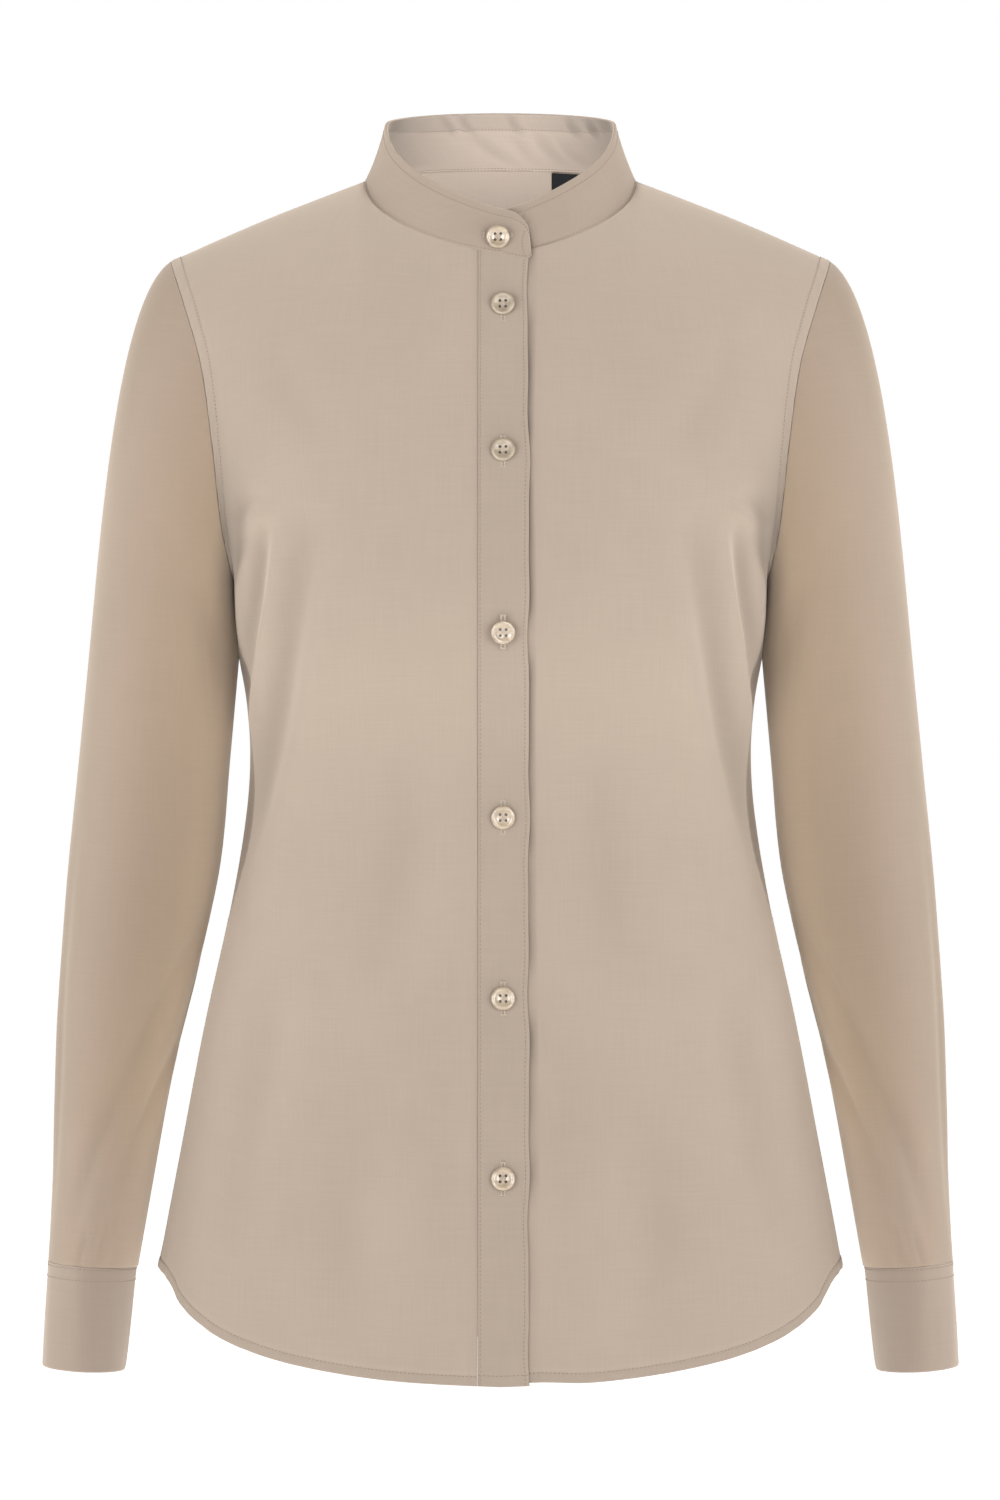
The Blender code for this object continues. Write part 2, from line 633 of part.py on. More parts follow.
def band_turns():
    """List the angles of the collar's columns, which are those of the panels below it."""
    start = across_at("front", PLACKET_OUT + SEAM_GAP, 1.0)
    front = [across / NECK_SHARE * math.pi / 2 for across in panel_steps(start)[:NECK_COLUMNS]]
    lap = [math.asin(out / NECK_HALF_WIDTH) for out in (*LAP_COLUMNS, PLACKET_OUT + SEAM_GAP)]
    quarter = lap + front
    back = [math.pi - across / NECK_SHARE * math.pi / 2
            for across in reversed(panel_steps(0.0)[:NECK_COLUMNS - 1])]
    under_end = -math.asin(BAND_UNDER_END / NECK_HALF_WIDTH)
    over_end = -math.asin(BAND_OVER_END / NECK_HALF_WIDTH)
    half = quarter + back
    under = [under_end + turn for turn in BAND_END_TURNS[:-1]] + half
    over = [over_end + turn for turn in BAND_END_TURNS] + half
    return under + [math.pi] + [2 * math.pi - turn for turn in reversed(over)]


def band_grid():
    """Work out the collar's points."""
    return np.array([[band_point(turn, row / BAND_ROWS) for turn in band_turns()]
                     for row in range(BAND_ROWS + 1)])


# ---------------------------------------------------------------- meshes
def material(name, colour, roughness, metallic=0.0):
    """Make a plain Principled material."""
    made = bpy.data.materials.new(name)
    made.use_nodes = True
    shader = made.node_tree.nodes["Principled BSDF"]
    shader.inputs["Base Color"].default_value = (*colour, 1.0)
    shader.inputs["Roughness"].default_value = roughness
    shader.inputs["Metallic"].default_value = metallic
    return made


def wall(name, grid, thickness, finish, collection, side=RIGHT, closed=False, axis=(0.0, 0.0)):
    """Make a cloth wall whose outer face runs through the grid's points."""
    rows, columns = grid.shape[0] - 1, grid.shape[1] - 1
    sheet = bmesh.new()
    bmesh.ops.create_grid(sheet, x_segments=columns, y_segments=rows, size=1.0)
    for vertex, place in zip(sheet.verts, grid.reshape(-1, 3)):
        vertex.co = (side * place[0], place[1], place[2])
    if closed:
        bmesh.ops.remove_doubles(sheet, verts=sheet.verts, dist=WELD)
    sheet.normal_update()
    centre = Vector((side * axis[0], axis[1], float(grid[:, :, 2].mean())))
    facing = sum(face.normal.dot(face.calc_center_median() - centre) for face in sheet.faces)
    if facing < 0:
        bmesh.ops.reverse_faces(sheet, faces=sheet.faces)
    mesh = bpy.data.meshes.new(name)
    sheet.to_mesh(mesh)
    sheet.free()
    mesh.materials.append(finish)
    mesh.shade_smooth()
    piece = bpy.data.objects.new(name, mesh)
    collection.objects.link(piece)
    shell = piece.modifiers.new("cloth", "SOLIDIFY")
    shell.thickness = thickness
    shell.offset = -1.0
    return piece


def button(name, radius, place, normal, finish, collection):
    """Make a button: a disc with softened edges, seated a little off the cloth."""
    disc = bmesh.new()
    bmesh.ops.create_cone(disc, cap_ends=True, segments=BUTTON_SIDES, radius1=radius,
                          radius2=radius, depth=BUTTON_THICK)
    rims = [edge for edge in disc.edges if edge.calc_face_angle() > RIM_ANGLE]
    bmesh.ops.bevel(disc, geom=rims, offset=BUTTON_SOFTENING, segments=1, profile=0.5,
                    affect="EDGES", material=-1)
    mesh = bpy.data.meshes.new(name)
    disc.to_mesh(mesh)
    disc.free()
    mesh.materials.append(finish)
    mesh.shade_smooth()
    mesh.set_sharp_from_angle(angle=SMOOTH_ANGLE)
    piece = bpy.data.objects.new(name, mesh)
    normal = Vector(normal).normalized()
    piece.rotation_mode = "QUATERNION"
    piece.rotation_quaternion = normal.to_track_quat("Z", "Y")
    piece.location = Vector(place) + normal * (SEAM_GAP + BUTTON_THICK / 2)
    collection.objects.link(piece)
    return piece


def surface_frame(at, first, second):
    """Give a surface's point and its normal from two nearby points each way."""
    one = at(first + NORMAL_STEP, second) - at(first - NORMAL_STEP, second)
    two = at(first, second + NORMAL_STEP) - at(first, second - NORMAL_STEP)
    normal = np.cross(one, two)
    return at(first, second), normal / np.linalg.norm(normal)


# ---------------------------------------------------------------- pieces
def build_body(cloth, collection):
    """Make the two fronts, the placket and the back."""
    edge = PLACKET_OUT + SEAM_GAP
    over = front_grid((edge,), LAP_LIFT)
    under = front_grid((-UNDER_STAND, *LAP_COLUMNS, edge), -LAP_LIFT, HEM_STEP)
    for name, grid, side in (("front_right", over, RIGHT), ("front_left", under, LEFT)):
        grid = draw_in(draw_in(grid, "last", SEAM_GAP), "top", RIDGE_GAP)
        wall(name, grid, CLOTH, cloth, collection, side)
    strip = front_grid((-PLACKET_IN, *LAP_COLUMNS, PLACKET_OUT), LAP_LIFT, to_seam=False)
    strip = move_along_normals(strip, lambda point: PLACKET_RISE)
    wall("front_placket", draw_in(strip, "top", SEAM_GAP), FACED, cloth, collection, RIGHT)
    back = back_grid()
    back = draw_in(draw_in(back, "first", SEAM_GAP), "last", SEAM_GAP)
    wall("back", draw_in(back, "top", RIDGE_GAP), CLOTH, cloth, collection, LEFT)


def build_sleeves(cloth, collection):
    """Make the sleeves and the cuffs."""
    sleeve, cuff = sleeve_grid(), cuff_grid()
    sleeve_axis = (float(sleeve[:, :, 0].mean()), float(sleeve[:, :, 1].mean()))
    cuff_axis = (float(cuff[:, :, 0].mean()), float(cuff[:, :, 1].mean()))
    for word, side in (("right", RIGHT), ("left", LEFT)):
        wall("sleeve_" + word, sleeve, CLOTH, cloth, collection, side, True, sleeve_axis)
        wall("cuff_" + word, cuff, FACED, cloth, collection, side, False, cuff_axis)


def build_collar(cloth, collection):
    """Make the collar band in one piece, its right end over its left end."""
    wall("collar_band", band_grid(), FACED, cloth, collection, LEFT)


def build_label(tape, collection):
    """Make the plain label that hangs inside the back from the neck seam."""
    rows, columns = 2, 3
    grid = []
    for row in range(rows + 1):
        rise = LABEL_LOW + (LABEL_HIGH - LABEL_LOW) * row / rows
        outs = [LABEL_NEAR + (LABEL_FAR - LABEL_NEAR) * index / columns
                for index in range(columns + 1)]
        grid.append([body_point("back", across_at("back", out, rise), rise) for out in outs])
    grid = move_along_normals(np.array(grid), lambda point: -(CLOTH + 2 * SEAM_GAP))
    wall("neck_label", grid, LABEL_THICK, tape, collection, LEFT)


def build_buttons(horn, collection):
    """Make the collar's button, the front's six and one for each cuff."""
    turn = 2 * math.pi - math.asin(BAND_BUTTON_OUT / NECK_HALF_WIDTH)
    place, normal = surface_frame(band_point, turn, BAND_BUTTON_RISE)
    normal *= -1 if normal[1] > 0 else 1
    button("button_1", BUTTON_RADIUS, place, normal, horn, collection)

    def placket_point(out, height):
        row = (height - UNDERARM) / (UNDERARM - hem_height(0.0))
        if height > UNDERARM:
            row = (height - UNDERARM) / (NECK_FRONT_HEIGHT - UNDERARM)
        point = body_point("front", across_at("front", out, row), row)
        return np.array((RIGHT * point[0], point[1], point[2]))

    for index, height in enumerate(FRONT_BUTTON_HEIGHTS):
        place, normal = surface_frame(placket_point, BUTTON_LINE, height)
        normal *= -1 if normal[1] > 0 else 1
        place = place + normal * (LAP_LIFT + PLACKET_RISE)
        button("button_{}".format(index + 2), BUTTON_RADIUS, place, normal, horn, collection)

    share = 1 - 0.5 * CUFF_OVERLAP / (2 * math.pi + CUFF_OVERLAP)
    for word, side in (("right", RIGHT), ("left", LEFT)):
        place, normal = surface_frame(cuff_point, share, 0.5)
        centre = cuff_grid().mean(axis=(0, 1))
        normal = normal if float(normal @ (place - centre)) > 0 else -normal
        mirrored = np.array((side, 1.0, 1.0))
        button("cuff_button_" + word, CUFF_BUTTON_RADIUS, place * mirrored, normal * mirrored,
               horn, collection)


def main():
    """Clear the scene and build the shirt."""
    for old in list(bpy.data.objects):
        bpy.data.objects.remove(old, do_unlink=True)
    collection = bpy.data.collections.new("mandarin_collar_shirt")
    bpy.context.scene.collection.children.link(collection)
    cloth = material("cotton", (0.545, 0.445, 0.362), 0.85)
    horn = material("horn", (0.50, 0.41, 0.30), 0.30)
    tape = material("label_tape", (0.02, 0.02, 0.02), 0.60)
    build_body(cloth, collection)
    build_sleeves(cloth, collection)
    build_collar(cloth, collection)
    build_label(tape, collection)
    build_buttons(horn, collection)


main()
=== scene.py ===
"""Looks of a fitted mandarin collar shirt: thin cloth shells, sewing, buttons and a studio.

The shirt faces -Y, the wearer's right is -X, and all sizes are in metres. Each cloth piece is a
fine shell on the form of its plain solid, with its creases, hems and seams in its own mesh.
"""

from __future__ import annotations

import logging
import math
from dataclasses import dataclass, field
from enum import Enum
from typing import Any, NamedTuple

import bmesh
import bpy
import numpy as np
from mathutils import Matrix, Vector

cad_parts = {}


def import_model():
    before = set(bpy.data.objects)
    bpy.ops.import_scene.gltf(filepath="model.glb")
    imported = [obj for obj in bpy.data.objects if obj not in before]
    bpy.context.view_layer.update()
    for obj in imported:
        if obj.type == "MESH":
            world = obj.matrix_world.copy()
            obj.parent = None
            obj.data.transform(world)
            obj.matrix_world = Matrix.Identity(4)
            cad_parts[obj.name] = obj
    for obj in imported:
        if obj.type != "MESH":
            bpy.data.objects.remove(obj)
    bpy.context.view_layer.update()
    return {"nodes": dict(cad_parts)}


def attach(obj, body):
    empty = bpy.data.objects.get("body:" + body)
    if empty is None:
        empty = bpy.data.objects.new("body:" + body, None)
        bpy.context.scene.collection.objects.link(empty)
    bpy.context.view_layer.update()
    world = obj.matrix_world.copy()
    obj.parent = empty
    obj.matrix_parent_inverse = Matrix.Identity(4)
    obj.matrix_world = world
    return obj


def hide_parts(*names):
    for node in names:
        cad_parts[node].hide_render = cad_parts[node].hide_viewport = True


LOG = logging.getLogger("shirt")
Array = np.ndarray
Pair = tuple[float, float]
Triple = tuple[float, float, float]
Sizes = tuple[float, ...]
BODY = "root"


class Side(Enum):
    """The wearer's right or left, as the sign of X."""

    RIGHT = -1
    LEFT = 1


class Face(Enum):
    """Front or back of the body."""

    FRONT = "front"
    BACK = "back"


# ------------------------ tables
class Level(NamedTuple):
    """One level of the body below the underarms."""

    height: float
    half_width: float
    front: float
    back: float
    seam: float
    front_fullness: float
    back_fullness: float


class HemStop(NamedTuple):
    """The hem's share of its whole drop, a way across from the middle to the side seam."""

    across: float
    drop: float


class Rung(NamedTuple):
    """A depth or a distance out at one height."""

    height: float
    value: float


class SleeveLevel(NamedTuple):
    """One level of a sleeve or cuff tube."""

    height: float
    outer: float
    inner: float
    middle: float
    half_depth: float


class Crease(NamedTuple):
    """A soft trough along a path, with a ridge to the left of the way along it."""

    path: tuple[Pair, ...]
    depth: float
    width: float
    ridge: float
    ridge_shift: float


class PaintedShade(NamedTuple):
    """A soft spot of painted shade or painted light at a height and at a distance from an edge, or
    a share across.
    """

    height: float
    spread: float
    away: float
    width: float
    tone: float


class Wave(NamedTuple):
    """An uneven wave that runs along a line at a distance from an edge."""

    height: float
    seed: float
    pitch: float
    away: float
    width: float


BODY_LEVELS = (
    #     height  half_width  front   back   seam  front_fullness  back_fullness
    Level(-0.660, 0.1985, -0.1185, 0.1265, 0.004, 0.84, 0.86),
    Level(-0.594, 0.1875, -0.1165, 0.1210, 0.004, 0.84, 0.86),
    Level(-0.525, 0.1745, -0.1120, 0.1140, 0.003, 0.84, 0.86),
    Level(-0.460, 0.1620, -0.1080, 0.1050, 0.002, 0.84, 0.86),
    Level(-0.394, 0.1475, -0.1045, 0.0930, 0.001, 0.84, 0.86),
    Level(-0.345, 0.1395, -0.1040, 0.0850, 0.000, 0.84, 0.86),
    Level(-0.312, 0.1375, -0.1080, 0.0840, 0.000, 0.81, 0.84),
    Level(-0.284, 0.1396, -0.1170, 0.0880, 0.000, 0.76, 0.80),
    Level(-0.250, 0.1452, -0.1285, 0.0950, 0.001, 0.68, 0.74),
    Level(-0.219, 0.1455, -0.1305, 0.1000, 0.002, 0.62, 0.70),
)
HEM_CURVE = (
    #       across drop
    HemStop(0.00, 1.000),
    HemStop(0.20, 0.945),
    HemStop(0.40, 0.800),
    HemStop(0.55, 0.620),
    HemStop(0.65, 0.448),
    HemStop(0.72, 0.305),
    HemStop(0.79, 0.120),
    HemStop(0.88, 0.022),
    HemStop(1.00, 0.000),
)
FRONT_MIDDLE = (Rung(-0.219, -0.1305), Rung(-0.180, -0.1255), Rung(-0.150, -0.1165),
                Rung(-0.120, -0.1050), Rung(-0.090, -0.0895), Rung(-0.0445, -0.0640))
BACK_MIDDLE = (Rung(-0.219, 0.1000), Rung(-0.180, 0.1020), Rung(-0.140, 0.1010),
               Rung(-0.100, 0.0960), Rung(-0.060, 0.0850), Rung(-0.020, 0.0670),
               Rung(0.012, 0.0500))
ARMHOLE_OUT = (Rung(-0.219, 0.1455), Rung(-0.190, 0.1507), Rung(-0.150, 0.1550),
               Rung(-0.104, 0.1617), Rung(-0.072, 0.1710), Rung(-0.043, 0.1810))
SLEEVE_LEVELS = (
    #           height   outer    inner   middle  half_depth
    SleeveLevel(-0.592, 0.2467, 0.1976, -0.020, 0.041),
    SleeveLevel(-0.547, 0.2445, 0.1900, -0.013, 0.044),
    SleeveLevel(-0.503, 0.2440, 0.1825, -0.006, 0.047),
    SleeveLevel(-0.460, 0.2430, 0.1740, 0.001, 0.050),
    SleeveLevel(-0.416, 0.2405, 0.1630, 0.006, 0.053),
    SleeveLevel(-0.372, 0.2375, 0.1540, 0.008, 0.056),
    SleeveLevel(-0.317, 0.2320, 0.1490, 0.008, 0.060),
    SleeveLevel(-0.262, 0.2265, 0.1440, 0.006, 0.062),
)
CUFF_LEVELS = (
    SleeveLevel(-0.648, 0.2500, 0.2046, -0.024, 0.0395),
    SleeveLevel(-0.591, 0.2478, 0.1975, -0.020, 0.0410),
)

# painted shade near the fronts' side edges: under the arm, at the waist and at the hip
FRONT_PAINTED_SHADES = (
    #     height spread   away   width   tone, with away counted in from the side edge
    PaintedShade(-0.178, 0.032, 0.0000, 0.0200, -0.20),
    PaintedShade(-0.210, 0.030, 0.0015, 0.0125, -0.50),
    PaintedShade(-0.212, 0.028, 0.0200, 0.0065, -0.40),
    PaintedShade(-0.350, 0.060, 0.0040, 0.0110, -0.18),
    PaintedShade(-0.600, 0.070, 0.0000, 0.0100, -0.10),
)
# painted shade on the sleeves' inner half at mid height, painted light on their outer half near the
# cuff
SLEEVE_PAINTED_SHADES = (
    #     height spread  away  width  tone, with away as the share from outside to inside
    PaintedShade(-0.380, 0.080, 0.62, 0.28, -0.10),
    PaintedShade(-0.560, 0.050, 0.28, 0.16, 0.07),
)

FRONT_CREASES = (
    # paths are (distance out, height) from the low end up; depth, width, ridge, ridge_shift
    Crease(((0.1455, -0.404), (0.1415, -0.372), (0.1326, -0.339), (0.1232, -0.302),
            (0.1161, -0.267), (0.1106, -0.237), (0.1040, -0.206), (0.1000, -0.180)),
           0.0070, 0.0100, 0.0022, 0.0170),
    Crease(((0.1440, -0.300), (0.1425, -0.284), (0.1392, -0.266), (0.1370, -0.252),
            (0.1320, -0.226), (0.1282, -0.201), (0.1262, -0.186)),
           0.0062, 0.0055, 0.0028, 0.0090),
    Crease(((0.1430, -0.190), (0.1365, -0.180), (0.1270, -0.173)), 0.0022, 0.0048, 0.0016, 0.0095),
    Crease(((0.0680, -0.438), (0.0560, -0.392), (0.0500, -0.340), (0.0490, -0.300)),
           0.0022, 0.0130, 0.0014, 0.024),
    Crease(((0.1480, -0.580), (0.1350, -0.520), (0.1260, -0.462), (0.1240, -0.425)),
           0.0026, 0.0120, 0.0018, 0.022),
    Crease(((0.0800, -0.630), (0.0830, -0.565), (0.0750, -0.500)), 0.0020, 0.0130, 0.0014, 0.026),
    Crease(((0.0850, -0.155), (0.1080, -0.128), (0.1290, -0.092)), 0.0014, 0.0110, 0.0009, 0.020),
    Crease(((0.0330, -0.600), (0.0290, -0.520), (0.0350, -0.450)), 0.0012, 0.0120, 0.0008, -0.022),
)
BACK_CREASES = (
    Crease(((0.1200, -0.410), (0.1040, -0.325), (0.0780, -0.235)), 0.0036, 0.0110, 0.0018, 0.018),
    Crease(((0.0600, -0.385), (0.0480, -0.330), (0.0310, -0.262)), 0.0026, 0.0110, 0.0013, 0.018),
    Crease(((0.1260, -0.300), (0.1240, -0.250), (0.1130, -0.195)), 0.0030, 0.0070, 0.0014, 0.012),
    Crease(((0.0200, -0.430), (0.0120, -0.385), (0.0160, -0.340)), 0.0014, 0.0100, 0.0008, 0.016),
    Crease(((0.1450, -0.570), (0.1280, -0.500), (0.1210, -0.430)), 0.0016, 0.0120, 0.0008, 0.020),
    Crease(((0.0700, -0.600), (0.0740, -0.540), (0.0700, -0.470)), 0.0014, 0.0130, 0.0008, 0.022),
    Crease(((0.1000, -0.130), (0.1180, -0.100), (0.1330, -0.070)), 0.0010, 0.0090, 0.0004, 0.014),
)
SLEEVE_CREASES = (
    # paths are (angle from outside via the front in degrees, height)
    Crease(((62.0, -0.585), (74.0, -0.545), (98.0, -0.505), (122.0, -0.465), (142.0, -0.430),
            (160.0, -0.395)), 0.0034, 0.0080, 0.0012, -0.014),
    Crease(((100.0, -0.560), (128.0, -0.520), (150.0, -0.490), (176.0, -0.465)),
           0.0018, 0.0060, 0.0010, -0.010),
    Crease(((20.0, -0.575), (28.0, -0.500), (24.0, -0.420), (30.0, -0.340)),
           0.0010, 0.0050, 0.0008, 0.008),
    Crease(((250.0, -0.520), (228.0, -0.470), (205.0, -0.420)), 0.0030, 0.0090, 0.0018, 0.015),
    Crease(((300.0, -0.570), (286.0, -0.520), (270.0, -0.480)), 0.0016, 0.0070, 0.0010, 0.012),
    Crease(((150.0, -0.300), (136.0, -0.258), (122.0, -0.215)), 0.0026, 0.0080, 0.0012, 0.013),
    Crease(((205.0, -0.310), (222.0, -0.262), (240.0, -0.220)), 0.0022, 0.0080, 0.0012, -0.013),
    Crease(((76.0, -0.594), (80.0, -0.580), (86.0, -0.566)), 0.0016, 0.0028, 0.0012, -0.005),
    Crease(((98.0, -0.594), (104.0, -0.576), (112.0, -0.560)), 0.0014, 0.0030, 0.0010, -0.005),
    Crease(((232.0, -0.594), (228.0, -0.572), (226.0, -0.548)), 0.0018, 0.0030, 0.0012, -0.005),
    Crease(((262.0, -0.594), (266.0, -0.570), (272.0, -0.545)), 0.0016, 0.0032, 0.0010, 0.005),
)
BAND_CREASES = (
    # paths are (distance round the collar from the left end, height as metres up from the seam)
    Crease(((0.1700, 0.020), (0.1725, 0.026), (0.1705, 0.033)), 0.0013, 0.0026, 0.0010, 0.005),
    Crease(((0.1910, 0.004), (0.1950, 0.014), (0.1925, 0.023)), 0.0009, 0.0045, 0.0006, 0.008),
    Crease(((0.2040, 0.019), (0.2060, 0.026), (0.2050, 0.033)), 0.0015, 0.0023, 0.0011, 0.0045),
    Crease(((0.2190, 0.002), (0.2270, 0.012), (0.2330, 0.022)), 0.0011, 0.0045, 0.0008, -0.008),
    Crease(((0.2300, 0.020), (0.2330, 0.026), (0.2320, 0.033)), 0.0014, 0.0022, 0.0011, -0.0045),
    Crease(((0.2440, 0.019), (0.2430, 0.026), (0.2455, 0.033)), 0.0012, 0.0026, 0.0009, 0.005),
    Crease(((0.1560, 0.021), (0.1590, 0.026), (0.1580, 0.033)), 0.0012, 0.0024, 0.0009, 0.005),
    Crease(((0.2130, 0.006), (0.2090, 0.013), (0.2110, 0.021)), 0.0007, 0.0035, 0.0005, 0.007),
    Crease(((0.1780, 0.005), (0.1840, 0.013), (0.1820, 0.020)), 0.0007, 0.0035, 0.0005, -0.007),
)


# ------------------------ curves
def hermite(start: Array, leave: Array, end: Array, arrive: Array, share: Array) -> Array:
    """Blend from start to end with the given speeds at both ends."""
    square, cube = share ** 2, share ** 3
    return (start * (2 * cube - 3 * square + 1) + leave * (cube - 2 * square + share)
            + end * (3 * square - 2 * cube) + arrive * (cube - square))


def read_curve(knots: Any, values: Any, at: Array) -> Array:
    """Read a smooth curve through (knot, value) pairs.

    Args:
        knots: places along the curve, rising.
        values: the curve's value at each knot.
        at: the places to read, held to the knots' range.

    Returns:
        The values at those places.
    """
    knots, values = np.asarray(knots, float), np.asarray(values, float)
    slopes = np.gradient(values) / np.gradient(knots)
    slopes[1:-1] = (values[2:] - values[:-2]) / (knots[2:] - knots[:-2])
    at = np.clip(at, knots[0], knots[-1])
    index = np.clip(np.searchsorted(knots, at) - 1, 0, len(knots) - 2)
    span = knots[index + 1] - knots[index]
    return hermite(values[index], slopes[index] * span, values[index + 1],
                   slopes[index + 1] * span, (at - knots[index]) / span)


def column(table: tuple, name: str, at: Array) -> Array:
    """Read one named column of a table at the given places of its first column."""
    return read_curve([row[0] for row in table], [getattr(row, name) for row in table], at)


def ease(share: Array) -> Array:
    """Rise smoothly from 0 to 1."""
    share = np.clip(share, 0.0, 1.0)
    return share * share * (3 - 2 * share)


def between(value: Array, start: float, stop: float) -> Array:
    """Rise smoothly from 0 at start to 1 at stop, which may lie on either side of it."""
    return ease((value - start) / (stop - start))


def bell(distance: Array, width: float) -> Array:
    """Fall smoothly from 1 at the middle to about 0 at twice the width."""
    return np.exp(-(distance / width) ** 2)


def stack(*parts: Any) -> Array:
    """Join x, y and z arrays of any matching shapes into points."""
    return np.stack(np.broadcast_arrays(*[np.asarray(part, float) for part in parts]), axis=-1)


def spaced(length: float, fine: Sizes, step: float, ends: str = "both") -> Array:
    """List shares of a length that lie close together near its ends.

    Args:
        length: the whole length.
        fine: distances from an end that get a place of their own.
        step: the spacing in between.
        ends: "start", "end" or "both", the ends that get the fine places.

    Returns:
        The shares, from 0 to 1.
    """
    low = list(fine) if ends in ("start", "both") else [0.0]
    high = [length - distance for distance in fine] if ends in ("end", "both") else [length]
    start, stop = low[-1], min(high)
    count = max(int(round((stop - start) / step)), 1)
    middle = [start + (stop - start) * index / count for index in range(1, count)]
    return np.array(low + middle + sorted(high)) / length


# ------------------------ forms
@dataclass
class BodyForm:
    """The smooth surface that the fronts, the placket and the back are cut from."""

    underarm: float = -0.219
    hem_side: float = -0.594
    hem_drop: float = 0.0535
    neck_half_width: float = 0.0744
    neck_front: Pair = (-0.064, -0.0445)
    neck_back: Pair = (0.050, 0.012)
    neck_side_height: float = 0.001
    neckline_climb: float = 1.4
    lap_dip: float = 2.4
    neck_share: float = 0.45
    shoulder_tip: Triple = (0.181, 0.003, -0.043)
    shoulder_bow: float = 0.0014
    narrowing: Pair = (math.radians(30), math.radians(40))
    narrowing_end: float = 0.5
    narrowing_fade: float = 2.2
    armhole_bow: Pair = (-0.061, 0.060)
    armhole_lean: float = 0.8
    armhole_fullness: float = 0.9
    roll_start: float = 0.35
    roll_speed: float = 1.5
    roll_climb: float = 0.008
    corner_reach: float = 0.28
    corner_fade: float = 4.0
    slope_step: float = 0.01
    lap_flat: float = 0.019
    lap_fade: float = 0.048
    lap_lift: float = 0.00085
    middle_reach: float = 1e-5
    first_width: float = 0.2
    rounds: int = 6

    def hem_height(self, across: Array) -> Array:
        """Give the hem's height: low at the middle, rising in an S to the side seam."""
        return self.hem_side - self.hem_drop * column(HEM_CURVE, "drop", np.abs(across))

    def level(self, face: Face, across: Array, height: Array) -> Array:
        """Give points of the body below the underarms."""
        turn = across * math.pi / 2
        fullness = column(BODY_LEVELS, face.value + "_fullness", height)
        seam = column(BODY_LEVELS, "seam", height)
        middle = column(BODY_LEVELS, face.value, height)
        half_width = column(BODY_LEVELS, "half_width", height)
        depth = seam + (middle - seam) * np.maximum(np.cos(turn), 0.0) ** fullness
        return stack(half_width * np.sin(turn), depth, height)

    def armhole(self, face: Face, rise: Array) -> Array:
        """Give points of the armhole: rise is 0 at the underarm and 1 at the shoulder tip."""
        rise = np.asarray(rise, float)
        tip = self.shoulder_tip
        height = self.underarm + (tip[2] - self.underarm) * (1 - np.cos(math.pi * rise)) / 2
        bow = self.armhole_bow[0 if face is Face.FRONT else 1]
        start = column(BODY_LEVELS, "seam", self.underarm)
        arch = np.maximum(np.sin(math.pi * np.clip(rise, 0, 1) ** self.armhole_lean), 0.0)
        depth = start + (tip[1] - start) * rise + bow * arch ** self.armhole_fullness
        return stack(column(ARMHOLE_OUT, "value", height), depth, height)

    def top_edge(self, face: Face, across: Array) -> Array:
        """Give points of the neckline, then of the shoulder seam, up to the shoulder tip."""
        across = np.asarray(across, float)
        share = across / self.neck_share
        turn = share * math.pi / 2
        side = self.neck_side_height
        if face is Face.FRONT:
            depth, low = self.neck_front[0] * np.cos(turn), self.neck_front[1]
            height = low + (side - low) * np.abs(share) ** self.neckline_climb
        else:
            depth = self.neck_back[0] * np.cos(turn)
            height = side + (self.neck_back[1] - side) * np.cos(turn)
        neck = stack(self.neck_half_width * np.sin(turn), depth, height)
        along = ((across - self.neck_share) / (1 - self.neck_share))[..., None]
        point = np.array((self.neck_half_width, 0.0, side))
        shoulder = point + (np.array(self.shoulder_tip) - point) * along
        shoulder = shoulder + self.shoulder_bow * np.sin(math.pi * along) * (0, 0, 1)
        return np.where(across[..., None] < self.neck_share, neck, shoulder)

    def soft_top_edge(self, face: Face, across: Array) -> Array:
        """Give the top edge with its corner at the shoulder's neck end rounded off."""
        reach = self.corner_reach * np.sin(math.pi * np.abs(across))
        spots = (-1.0, -0.5, 0.0, 0.5, 1.0)
        return sum(self.top_edge(face, across + reach * spot) for spot in spots) / len(spots)

    def middle(self, face: Face, rise: Array) -> Array:
        """Give points of the middle line between the underarm level and the neckline."""
        table = FRONT_MIDDLE if face is Face.FRONT else BACK_MIDDLE
        top = (self.neck_front if face is Face.FRONT else self.neck_back)[1]
        height = self.underarm + (top - self.underarm) * np.asarray(rise, float)
        return stack(0.0, column(table, "value", height), height)

    def chest(self, face: Face, across: Array, rise: Array) -> Array:
        """Give points of the levels above the underarms, from the middle to the armhole."""
        fullness = column(BODY_LEVELS, face.value + "_fullness", self.underarm)
        middle, edge = self.middle(face, rise), self.armhole(face, rise)
        left = np.maximum(1 - rise / self.narrowing_end, 0.0) ** self.narrowing_fade
        narrowing = self.narrowing[0 if face is Face.FRONT else 1]
        widest = math.pi / 2 - narrowing * (1 - left)
        turn = across * widest
        edge_share = np.maximum(np.cos(widest), 0.0) ** fullness
        share = (np.maximum(np.cos(turn), 0.0) ** fullness - edge_share) / (1 - edge_share)
        return stack(edge[..., 0] * np.sin(turn) / np.sin(widest),
                     edge[..., 1] + (middle[..., 1] - edge[..., 1]) * share,
                     middle[..., 2] + (edge[..., 2] - middle[..., 2]) * across ** 2)

